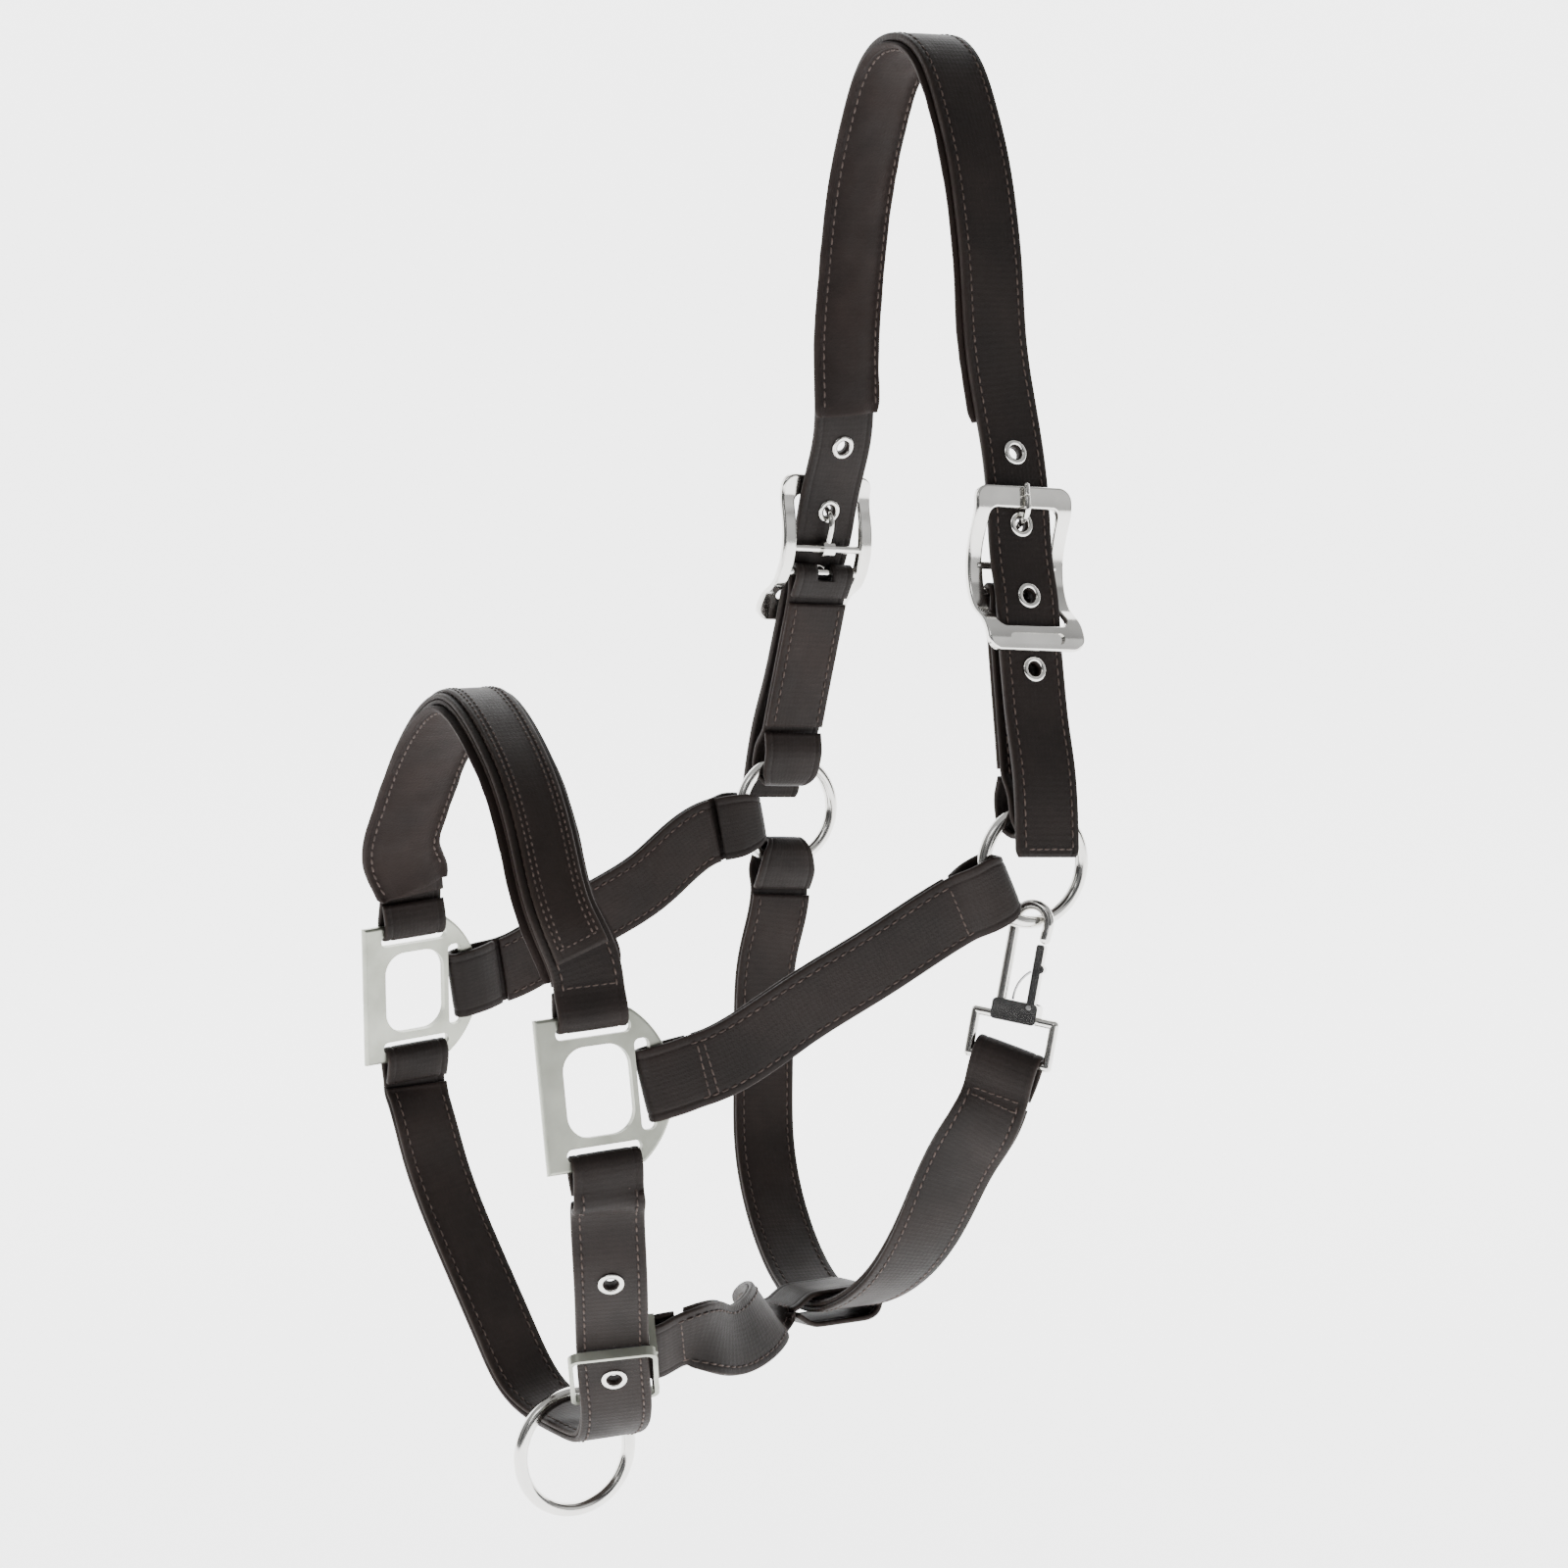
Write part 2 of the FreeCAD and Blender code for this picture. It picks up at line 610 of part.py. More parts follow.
def make_chin_eyelets(frames):
    strap, lining = find("chin_strap"), find("chin_lining")
    grip = 2 * size("layer") + 0.3
    places = []
    for guess in (Vector(66, -158, -419), Vector(44, -146.5, -460)):
        f = nearest_frame(frames, guess)
        places.append(Frame(f.origin + f.a * (guess - f.origin).dot(f.a), f.a, f.b))
    drills = [eyelet_drill(place, grip) for place in places]
    strap.Shape = strap.Shape.cut(drills).Solids[0]
    lining.Shape = lining.Shape.cut(drills).Solids[0]
    group = doc.addObject("Part::Feature", "chin_eyelets")
    group.Shape = Part.makeCompound([eyelet(place, grip) for place in places])
    keep(group, "chin_eyelets")


def find(label):
    return doc.getObjectsByLabel(label)[0]


POST_DEPTH = 9.0
SLIDE_TILT = 0.33      # the slide leans so that the strap passes inside its top bar and over its lower bar


def slide_frame(frames):
    """a = up the chin strap, b = across it, c = outwards."""
    f = nearest_frame(frames, Vector(42.5, -145.8, -463))
    flat = Frame(f.origin, f.a * -1.0, f.b * -1.0)
    return Frame(flat.at(0, 0, -1.0), flat.a + flat.c * math.tan(SLIDE_TILT), flat.b)


def make_slide(frames):
    """A shallow rectangular frame: the strap goes inside its top bar, and a rear bar holds the connector."""
    f = slide_frame(frames)
    wide = size("slide_width")
    tall = size("slide_height")
    deep = size("slide_depth")
    wall = 1.6
    outer = rounded_box(tall, wide, deep, 4.0, Vector(-tall / 2, -wide / 2, -deep / 2))
    inner = rounded_box(tall - 2 * wall, wide - 2 * wall, deep + 2, 3.0,
                        Vector(-tall / 2 + wall, -wide / 2 + wall, -deep / 2 - 1))
    body = outer.cut(inner)
    rear = -wide / 2 + 1.0
    # The rear bar runs along the strap, so the leaning slide needs a long upper lug and a short lower one.
    along = Vector(math.cos(SLIDE_TILT), 0, -math.sin(SLIDE_TILT))
    post = Part.makeCylinder(1.4, 30, Vector(0, rear, -POST_DEPTH) - along * 15, along)
    lugs = [Part.makeBox(2.0, 2.4, 14.6, Vector(13.2, rear - 1.2, -14.8)),
            Part.makeBox(2.0, 2.4, 5.6, Vector(-15.2, rear - 1.2, -5.8))]
    body = body.fuse([post] + lugs)
    body.Placement = f.placement()
    obj = doc.addObject("Part::Feature", "chin_slide")
    obj.Shape = body.Solids[0]
    keep(obj, "chin_slide")
    bar = f.a * along.x + f.c * along.z
    # The connector leaves its bar between straight back and straight towards the throat.
    leaving = f.b + Vector(0.36, 0, 0)
    return Frame(f.at(0, rear, -POST_DEPTH), leaving - bar * leaving.dot(bar), bar)


# ---------------------------------------------------------------- connector and throat strap

THROAT_FAR = [Vector(-92, -12.5, -342), Vector(-91, -15, -380), Vector(-83, -19, -415), Vector(-62, -23, -443)]
THROAT_LOW = [Vector(-28, -27, -461), Vector(0, -29, -459)]
THROAT_NEAR = [Vector(31, -27, -443), Vector(56, -25, -416), Vector(75, -23, -388)]
THROAT_TURN = 0.08      # the far loop sits this many radians forward of the ring's lowest point


def make_throat(end):
    """From a loop on the far ring, under the jaw, to a loop on the snap."""
    centre = mirrored(RING)
    inward = Vector(0, math.sin(THROAT_TURN), math.cos(THROAT_TURN))
    start = Frame(centre - inward * size("ring_mid_radius"), inward, Vector(0, -1, 0))
    wide = [Vector(0, -1, 0)] * (len(THROAT_FAR) + len(THROAT_LOW))
    wide += [Vector(-0.15, -1, 0), Vector(-0.4, -0.9, 0), Vector(-0.7, -0.72, 0)]
    middle = THROAT_FAR + THROAT_LOW + THROAT_NEAR
    frames = lined_strap("throat_strap", start, RING_EYE, end, SNAP_EYE, middle, wide)
    ease_corners("throat_strap", centre, inward, Vector(0, 1, 0))
    return frames


def mitre_loops():
    """Eases the meeting corners of the two loops on the far ring, so that they do not overlap."""
    centre = mirrored(RING)
    flat = cheek_axis("far")[3]
    inward = Vector(0, math.sin(THROAT_TURN), math.cos(THROAT_TURN))
    between = (flat + inward).normalize()
    across = Vector(1, 0, 0).cross(between)
    for name, sense in (("far_cheek_strap", -1), ("throat_strap", 1)):
        trim(name, centre - across * sense * 0.3, across * sense)


def make_connector(post, throat_frames):
    """From the slide's rear bar to a loop round the lowest part of the throat strap."""
    low = nearest_frame(throat_frames, Vector(-12, -28, -461))
    towards = Vector(0, 1, 0)
    end = Frame(low.origin, towards, low.a * -1.0)
    jaw_eye = dict(reach=13.9, back=13.9, gap=9.6)
    middle = [Vector(36, -97, -456), Vector(12, -69, -455)]
    wide = [Vector(0, 0, 1), Vector(-0.3, 0, 0.95)]
    lined_strap("connector_strap", post, dict(reach=1.8, back=2.2, gap=3.4), end, jaw_eye, middle, wide)
    strap = find("connector_strap")
    strap.Shape = strap.Shape.cut(find("throat_lining").Shape).Solids[0]


# ---------------------------------------------------------------- snap hook

SNAP_SKEW = 0.14         # the strap pulls this far askew, in radians, on the snap's bar
SNAP_EYE = dict(reach=3.9, back=4.5, gap=3.9)
SNAP_LEAN = Vector(0, 0.2, 0.98)
SNAP_ACROSS = Vector(0.8, 0.6, 0)


def snap_frame():
    """a = up through the hook, b = across it; the origin is the centre of the ring's wire."""
    foot = RING - UP * size("ring_mid_radius")
    return Frame(foot, SNAP_LEAN, SNAP_ACROSS)


def make_snap():
    f = snap_frame()
    wire = size("snap_wire_radius")
    hook_radius = 6.2
    spine_foot = -30.0
    bend = Part.Arc(Vector(0, -hook_radius, 0), Vector(hook_radius, 0, 0), Vector(0, hook_radius, 0))
    spine = Part.LineSegment(Vector(spine_foot, -hook_radius, 0), Vector(0, -hook_radius, 0))
    nose = Part.LineSegment(Vector(0, hook_radius, 0), Vector(-5.0, hook_radius - 0.4, 0))
    path = Part.Wire([spine.toShape(), bend.toShape(), nose.toShape()])
    profile = Part.Wire(Part.Circle(Vector(spine_foot, -hook_radius, 0), Vector(1, 0, 0), wire + 0.3).toShape())
    hook = path.makePipeShell([profile], True, True)
    cap = Part.makeSphere(wire + 0.3, Vector(-5.0, hook_radius - 0.4, 0))
    base = rounded_box(7.5, 17, 5.6, 1.6, Vector(spine_foot - 5.5, -8.4, -2.8))
    pocket = Part.makeBox(6.0, 5.4, 3.4, Vector(spine_foot - 1.5, 2.6, -1.7))
    half, deep = 14.8, 15.0
    top = spine_foot - 5.5 + wire
    loop_path = [Vector(top, -half, 0), Vector(top, half, 0), Vector(top - deep, half, 0), Vector(top - deep, -half, 0)]
    bars = []
    for k in range(4):
        a, b = loop_path[k], loop_path[(k + 1) % 4]
        bars.append(Part.makeCylinder(wire, (b - a).Length, a, b - a))
        bars.append(Part.makeSphere(wire, a))
    body = hook.fuse([cap, base] + bars).cut(pocket)
    pin_hole = Part.makeCylinder(size("gate_pin_radius"), 8, Vector(spine_foot + 0.5, 5.2, -4), Vector(0, 0, 1))
    body = body.cut(pin_hole)
    body.Placement = f.placement()
    obj = doc.addObject("Part::Feature", "snap_body")
    obj.Shape = body.Solids[0]
    keep(obj, "snap_body")
    make_gate(f, spine_foot, hook_radius)
    return Frame(f.at(top - deep, 0, 0), f.a + f.b * math.tan(SNAP_SKEW), f.b * -1.0)


def make_gate(f, foot, hook_radius):
    """A sprung gate that closes the hook, its pin and its spring."""
    pin_at = Vector(foot + 0.5, 5.2, 0)
    reach = -5.0 - 2.2 - pin_at.x
    arm = rounded_box(reach + 1.4, 3.0, 2.8, 0.9, Vector(-1.4, -1.5, -1.4))
    thumb = Part.makeCylinder(1.5, 2.8, Vector(reach * 0.62, 1.2, -1.4))
    hole = Part.makeCylinder(size("gate_pin_radius") + 0.05, 8, Vector(0, 0, -4))
    gate = arm.fuse(thumb).cut(hole)
    gate.translate(pin_at)
    wire = 0.45
    leaf_points = [Vector(foot + 2.2, -2.0, 0), Vector(foot + 8, -1.0, 0), Vector(foot + 13, 2.9, 0)]
    leaf = round_sweep(curve_through(leaf_points), wire)
    pin = doc.addObject("Part::Cylinder", "snap_gate_pin")
    bind(pin, "Radius", "Sizes.gate_pin_radius")
    bind(pin, "Height", "Sizes.gate_pin_length")
    pin.Placement = f.placement().multiply(Placement(pin_at - UP * size("gate_pin_length") / 2, Rotation()))
    keep(pin, "snap_gate_pin")
    for name, shape in (("snap_gate", gate), ("snap_spring", leaf)):
        shape.Placement = f.placement().multiply(shape.Placement)
        obj = doc.addObject("Part::Feature", name)
        obj.Shape = shape.Solids[0]
        keep(obj, name)


def check_and_export():
    doc.recompute()
    for obj in doc.Objects:
        if any(state in ("Invalid", "Error") for state in obj.State):
            raise RuntimeError("failed: " + obj.Label)
    os.makedirs("parts", exist_ok=True)
    bad = [o.Label for o in NODES if o.Shape.isNull() or not o.Shape.isValid() or o.Shape.Volume <= 0]
    if bad:
        raise RuntimeError("bad shapes: " + ", ".join(bad))
    for obj in NODES:
        print("%-22s volume %9.1f  solids %d" % (obj.Label, obj.Shape.Volume, len(obj.Shape.Solids)))
        obj.Shape.exportStep("parts/%s.step" % obj.Label)


make_ring("near_ring", RING, Vector(1, 0, 0), "ring_mid_radius", "ring_wire_radius")
make_ring("far_ring", mirrored(RING), Vector(1, 0, 0), "ring_mid_radius", "ring_wire_radius")
for which in ("near", "far"):
    make_chape(which)
    make_buckle(which)
    make_tongue(which)
    make_square(which)
    make_cheek(which)
make_crown()
make_noseband()
strap_bar = make_snap()
throat_frames = make_throat(strap_bar)
mitre_loops()
chin_frames = make_chin()
make_chin_eyelets(chin_frames)
connector_post = make_slide(chin_frames)
make_connector(connector_post, throat_frames)
lead_centre = LEAD_AT - UP * LEAD_DROP
make_ring("lead_ring", lead_centre, Vector(1, 0, 0), "lead_mid_radius", "lead_wire_radius")
check_and_export()
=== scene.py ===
import json
import math

import bpy
import numpy as np
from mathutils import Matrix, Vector


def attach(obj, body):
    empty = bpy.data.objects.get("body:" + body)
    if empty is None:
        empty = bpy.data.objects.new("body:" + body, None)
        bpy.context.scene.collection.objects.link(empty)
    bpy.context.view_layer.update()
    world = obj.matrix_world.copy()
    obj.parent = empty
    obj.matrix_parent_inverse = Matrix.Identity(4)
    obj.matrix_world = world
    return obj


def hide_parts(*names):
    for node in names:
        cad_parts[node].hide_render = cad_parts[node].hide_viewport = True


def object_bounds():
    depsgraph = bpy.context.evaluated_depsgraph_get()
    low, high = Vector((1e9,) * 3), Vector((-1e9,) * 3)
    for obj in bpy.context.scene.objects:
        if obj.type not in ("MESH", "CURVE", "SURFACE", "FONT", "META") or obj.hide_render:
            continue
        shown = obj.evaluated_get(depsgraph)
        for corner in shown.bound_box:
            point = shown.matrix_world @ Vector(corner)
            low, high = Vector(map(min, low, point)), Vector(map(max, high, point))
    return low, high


# The looks of the leather headcollar. Lengths below are millimetres, as in the design, and
# meshes are written in metres. Each strap is one layer of leather folded round its fittings.

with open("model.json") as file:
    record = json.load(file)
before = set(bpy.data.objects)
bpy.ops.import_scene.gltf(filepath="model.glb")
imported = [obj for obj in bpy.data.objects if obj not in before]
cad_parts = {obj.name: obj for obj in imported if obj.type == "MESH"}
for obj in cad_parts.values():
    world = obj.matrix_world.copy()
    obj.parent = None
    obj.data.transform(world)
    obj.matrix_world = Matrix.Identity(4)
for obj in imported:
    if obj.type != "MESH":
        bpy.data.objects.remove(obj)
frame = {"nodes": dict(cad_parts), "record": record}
cad_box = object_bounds()
MM = 0.001
SEED = 7

WIDTH = 25.0             # strap width
LAYER = 2.0              # one layer of leather
CROWN_LAYER = 3.0
TAPER = 7.0              # length over which a loop closes onto its strap
RING_RADIUS = 20.2       # cheek ring, to the middle of its wire
LEAD_RADIUS = 21.5
STITCH_INSET = 3.0       # stitching, from the strap's edge
STITCH_PITCH = 3.6
STEP = 1.4               # spacing of the cross-sections along a strap

MOUNTS = {m["name"]: np.array(m["pos_m"]) / MM for m in frame["record"]["mounts"]}
NEAR_RING = MOUNTS["near_ring_mount"]
FAR_RING = MOUNTS["far_ring_mount"]
LEAD_RING = MOUNTS["lead_ring_mount"]
UP = np.array((0.0, 0.0, 1.0))
MIRROR = np.array((-1.0, 1.0, 1.0))

RING_EYE = dict(reach=7.8, back=3.4, gap=6.9)
CHAPE_RING_EYE = dict(reach=9.4, back=3.8, gap=7.4)
BAR_EYE = dict(reach=2.0, back=2.3, gap=3.6)
STRAP_BAR_EYE = dict(reach=2.2, back=2.8, gap=3.9)
FLANGE_EYE = dict(reach=5.9, back=4.8, gap=4.0)
SNAP_EYE = dict(reach=3.9, back=4.5, gap=3.9)
POST_EYE = dict(reach=1.8, back=2.2, gap=3.4)
JAW_EYE = dict(reach=13.9, back=13.9, gap=9.6)


def vec(*xyz):
    return np.array(xyz, float)


def unit(v):
    return v / np.linalg.norm(v)


class Place:
    """A place with three axes: a is the main direction, b lies across it, c = a x b."""

    def __init__(self, origin, a, b):
        self.origin = np.array(origin, float)
        self.a = unit(np.array(a, float))
        self.b = unit(np.array(b, float) - self.a * np.dot(self.a, b))
        self.c = np.cross(self.a, self.b)

    def at(self, a=0.0, b=0.0, c=0.0):
        return self.origin + self.a * a + self.b * b + self.c * c


# ---------------------------------------------------------------- lines and strips

def spline(points, across, step=STEP):
    """A natural cubic through the points, with the width direction at each sample."""
    p = np.array(points, float)
    wide = np.array(across, float)
    t = np.concatenate([[0.0], np.cumsum(np.linalg.norm(np.diff(p, axis=0), axis=1))])
    h = np.diff(t)
    n = len(p)
    matrix = np.eye(n)
    right = np.zeros((n, 3))
    for i in range(1, n - 1):
        matrix[i, i - 1:i + 2] = h[i - 1], 2 * (h[i - 1] + h[i]), h[i]
        right[i] = 6 * ((p[i + 1] - p[i]) / h[i] - (p[i] - p[i - 1]) / h[i - 1])
    bend = np.linalg.solve(matrix, right)
    s = np.linspace(0, t[-1], max(4, int(t[-1] / step)))
    k = np.clip(np.searchsorted(t, s, side="right") - 1, 0, n - 2)
    u = ((s - t[k]) / h[k])[:, None]
    span = h[k][:, None]
    line = p[k] * (1 - u) + p[k + 1] * u
    line -= span ** 2 / 6 * u * (1 - u) * ((2 - u) * bend[k] + (1 + u) * bend[k + 1])
    return line, wide[k] * (1 - u) + wide[k + 1] * u


def axes(line, wide):
    """Tangent, width direction and face direction at each sample of a line."""
    t = np.gradient(line, axis=0)
    t /= np.linalg.norm(t, axis=1)[:, None]
    b = wide - t * np.sum(t * wide, axis=1)[:, None]
    b /= np.linalg.norm(b, axis=1)[:, None]
    return t, b, np.cross(t, b)


def resample(line, wide, half, step=STEP):
    """Even spacing along a line, then a light smoothing that rounds its corners."""
    s = np.concatenate([[0.0], np.cumsum(np.linalg.norm(np.diff(line, axis=0), axis=1))])
    keep = np.concatenate([[True], np.diff(s) > 1e-6])
    s, line, wide, half = s[keep], line[keep], wide[keep], half[keep]
    even = np.linspace(0, s[-1], max(8, int(s[-1] / step)))
    columns = np.column_stack([line, wide, half])
    out = np.column_stack([np.interp(even, s, c) for c in columns.T])
    for _ in range(3):
        out[1:-1] = out[:-2] * 0.25 + out[1:-1] * 0.5 + out[2:] * 0.25
    return out[:, :3], out[:, 3:6], out[:, 6]


def fold(place, hole, inner, sector=None):
    """One layer round a bar: from its sewn end on the inner face, over the fold, to the outer face."""
    half, gap, back = LAYER / 2, hole["gap"] / 2, hole["back"]
    flat = [(-back - TAPER, inner * half), (-back - TAPER * 0.5, inner * (half + gap * 0.55)),
            (-back, inner * (gap + half))]
    centre = hole["reach"] - gap
    arc = []
    for k in range(13):
        turn = math.pi * (0.5 - k / 12)
        arc.append((centre + (gap + half) * math.cos(turn), inner * (gap + half) * math.sin(turn)))
    back_face = [(a, -c) for a, c in reversed(flat)]
    local = flat + arc + back_face
    line = np.array([place.at(a, 0, c) for a, c in local])
    wide = np.array([place.b] * len(local))
    width = np.full(len(local), WIDTH / 2)
    if sector:
        reach = np.array([RING_RADIUS - a for a, _ in local])
        width = np.minimum(width, reach * math.tan(sector) - 0.3)
    return line, wide, width


def strap_line(start, start_hole, end, end_hole, middle, across):
    """The middle line of a strap between the ends of its two loops."""
    tail_a = -start_hole["back"] - TAPER
    tail_b = -end_hole["back"] - TAPER
    points = [start.at(tail_a), start.at(tail_a - 4)] + list(middle) + [end.at(tail_b - 4), end.at(tail_b)]
    wide = [start.b] * 2 + list(across) + [end.b] * 2
    return spline(points, wide)


def folded_strap(start, start_hole, end, end_hole, middle, across, sectors=(None, None)):
    """Samples of the outer layer, folded over at both ends, and of the middle line."""
    line, wide = strap_line(start, start_hole, end, end_hole, middle, across)
    _, b, c = axes(line, wide)
    outer = line + c * LAYER / 2
    first = fold(start, start_hole, 1.0, sectors[0])
    last = fold(end, end_hole, -1.0, sectors[1])
    # The far loop is walked from the outer face to the inner one.
    whole = np.vstack([first[0], outer[1:-1], last[0][::-1]])
    wides = np.vstack([first[1], b[1:-1], last[1][::-1]])
    widths = np.concatenate([first[2], np.full(len(outer) - 2, WIDTH / 2), last[2][::-1]])
    return resample(whole, wides, widths), (line, wide)


# ---------------------------------------------------------------- meshes

EDGE_STEPS = [0.0, 0.12, 0.35, 0.7, 1.2, 1.8, 2.3, 2.65, 3.0, 3.35, 3.7, 4.3, 5.5, 7.5, 10.0]


def rows_across(half):
    """Positions across a strap, close together near its edges and its stitching."""
    left = [-half + d for d in EDGE_STEPS if d < half]
    return np.array(left + [0.0] + [-x for x in reversed(left)])


GROOVE_DEPTH = 0.22      # how far the stitching sinks into a strap's face
EDGE_ROUND = 0.75        # width of a strap's rounded edge


def flat_face(across, half, thick):
    """Height of a strap's face: rounded edges and a sunk line of stitching."""
    d = half - np.abs(across)
    near = np.clip(1 - d / EDGE_ROUND, 0, 1)
    drop = thick * 0.5 * (1 - np.sqrt(np.clip(1 - near ** 2, 0, 1))) * 0.9
    sunk = GROOVE_DEPTH * np.exp(-((d - STITCH_INSET) / 0.42) ** 2)
    return thick / 2 - drop - sunk + 0.10 * (1 - (across / half) ** 2)


def padded_face(across, half, thick):
    """Height of a pad's soft face: thin at its sewn edge and full between the rows."""
    d = half - np.abs(across)
    rise = np.clip((d - STITCH_INSET + 0.6) / (half * 0.55), 0, 1)
    lip = 0.42 * thick * np.clip(d / 0.6, 0, 1) ** 0.5 * np.exp(-((d - 1.3) / 1.6) ** 2)
    return thick * (0.62 * np.sin(rise * math.pi / 2) ** 0.8) + lip + 0.12 * thick - thick / 2 * 0.72


def sweep(name, line, wide, halves, thick, top=flat_face, bottom=flat_face):
    """A strip of leather along a line; UVs run along and across it, and 'wear' marks its edges."""
    _, b, c = axes(line, wide)
    full = float(np.max(halves))
    rows = rows_across(full)
    high, low = top(rows, full, thick), -bottom(rows, full, thick)
    section = np.column_stack([np.concatenate([rows, rows[::-1]]), np.concatenate([high, low[::-1]])])
    scale = (halves / full)[:, None]
    count, size = len(line), len(section)
    across = section[:, 0][None, :] * scale
    verts = (line[:, None, :] + b[:, None, :] * across[:, :, None] + c[:, None, :] * section[:, 1][None, :, None])
    verts = verts.reshape(-1, 3) * MM
    faces = []
    for i in range(count - 1):
        low_ring, high_ring = i * size, (i + 1) * size
        for j in range(size):
            k = (j + 1) % size
            faces.append((low_ring + j, high_ring + j, high_ring + k, low_ring + k))
    faces.append(tuple(range(size)))
    faces.append(tuple(range((count - 1) * size, count * size))[::-1])
    along = np.concatenate([[0.0], np.cumsum(np.linalg.norm(np.diff(line, axis=0), axis=1))])
    u = np.repeat(along, size) * MM
    v = np.tile(section[:, 0], count) * MM
    edge = np.tile(np.exp(-((full - np.abs(section[:, 0])) / 0.7) ** 2), count)
    return mesh_object(name, verts, faces, u, v, edge)


def mesh_object(name, verts, faces, u=None, v=None, edge=None):
    mesh = bpy.data.meshes.new(name)
    mesh.from_pydata([tuple(p) for p in verts], [], faces)
    mesh.update()
    if u is not None:
        layer = mesh.uv_layers.new(name="strap")
        corners = np.zeros(len(mesh.loops), int)
        mesh.loops.foreach_get("vertex_index", corners)
        layer.data.foreach_set("uv", np.column_stack([u[corners], v[corners]]).ravel())
        wear = mesh.attributes.new("wear", "FLOAT", "POINT")
        wear.data.foreach_set("value", edge)
    mesh.polygons.foreach_set("use_smooth", [True] * len(mesh.polygons))
    piece = bpy.data.objects.new(name, mesh)
    bpy.context.scene.collection.objects.link(piece)
    return piece


def finish_piece(piece, material, body, slot, *nodes):
    piece.data.materials.append(material)
    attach(piece, body)
    if nodes:
        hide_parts(*nodes)
    return piece


# ---------------------------------------------------------------- stitching

STITCH_RINGS = [(-0.5, 0.30, -0.42), (-0.38, 0.8, -0.1), (0.0, 1.0, 0.06), (0.38, 0.8, -0.1), (0.5, 0.30, -0.42)]
STITCH_SIDES = 6


def stitch_shape(length, radius):
    """One stitch along x, with z out of the leather: it dips into the leather at both ends."""
    points = []
    for along, girth, rise in STITCH_RINGS:
        for k in range(STITCH_SIDES):
            turn = 2 * math.pi * k / STITCH_SIDES
            points.append((along * length, girth * radius * math.cos(turn),
                           girth * radius * math.sin(turn) + rise * radius * 1.6))
    return np.array(points)


def stitch_faces():
    faces = []
    for i in range(len(STITCH_RINGS) - 1):
        for k in range(STITCH_SIDES):
            j = (k + 1) % STITCH_SIDES
            ring, after = i * STITCH_SIDES, (i + 1) * STITCH_SIDES
            faces.append((ring + k, ring + j, after + j, after + k))
    faces.append(tuple(reversed(range(STITCH_SIDES))))
    last = (len(STITCH_RINGS) - 1) * STITCH_SIDES
    faces.append(tuple(range(last, last + STITCH_SIDES)))
    return faces


class Seam:
    """Collects stitches for one strap and writes them as one piece."""

    def __init__(self, length=2.7, radius=0.36):
        self.shape = stitch_shape(length, radius)
        self.pattern = stitch_faces()
        self.verts = []
        self.faces = []
        self.random = np.random.default_rng(SEED)

    def add(self, at, along, out):
        side = np.cross(out, along)
        lean = self.random.normal(0.07, 0.03)
        x = unit(along + side * lean)
        y = np.cross(out, x)
        base = len(self.verts) * len(self.shape)
        self.verts.append(at + self.shape[:, :1] * x + self.shape[:, 1:2] * y + self.shape[:, 2:] * out)
        for face in self.pattern:
            self.faces.append(tuple(base + k for k in face))

    def line(self, points, out, pitch=STITCH_PITCH):
        """Stitches at even spacing along a line that lies on the leather."""
        s = np.concatenate([[0.0], np.cumsum(np.linalg.norm(np.diff(points, axis=0), axis=1))])
        for k in range(int(s[-1] / pitch)):
            where = (k + 0.5) * pitch
            at = np.array([np.interp(where, s, points[:, i]) for i in range(3)])
            ahead = np.array([np.interp(where + 0.5, s, points[:, i]) for i in range(3)])
            face = unit(np.array([np.interp(where, s, out[:, i]) for i in range(3)]))
            if np.linalg.norm(ahead - at) > 1e-6:
                self.add(at, unit(ahead - at), face)

    def across(self, line, wide, at_index, height, half, pitch=3.0):
        """A row of stitches across a strap."""
        _, b, c = axes(line, wide)
        i = int(np.clip(at_index, 0, len(line) - 1))
        ends = np.array([-half + STITCH_INSET, half - STITCH_INSET])
        row = line[i] + b[i] * ends[:, None] + c[i] * height
        self.line(row, np.array([c[i], c[i]]) * np.sign(height), pitch)

    def edges(self, line, wide, half, height, first=0, last=None):
        """The two rows that run along a strap."""
        _, b, c = axes(line, wide)
        part = slice(first, last)
        for side in (-1, 1):
            row = line + b * side * (half - STITCH_INSET) + c * height
            self.line(row[part], c[part] * np.sign(height))

    def piece(self, name, body, slot):
        made = mesh_object(name, np.vstack(self.verts) * MM, self.faces)
        return finish_piece(made, THREAD, body, slot)


# ---------------------------------------------------------------- materials

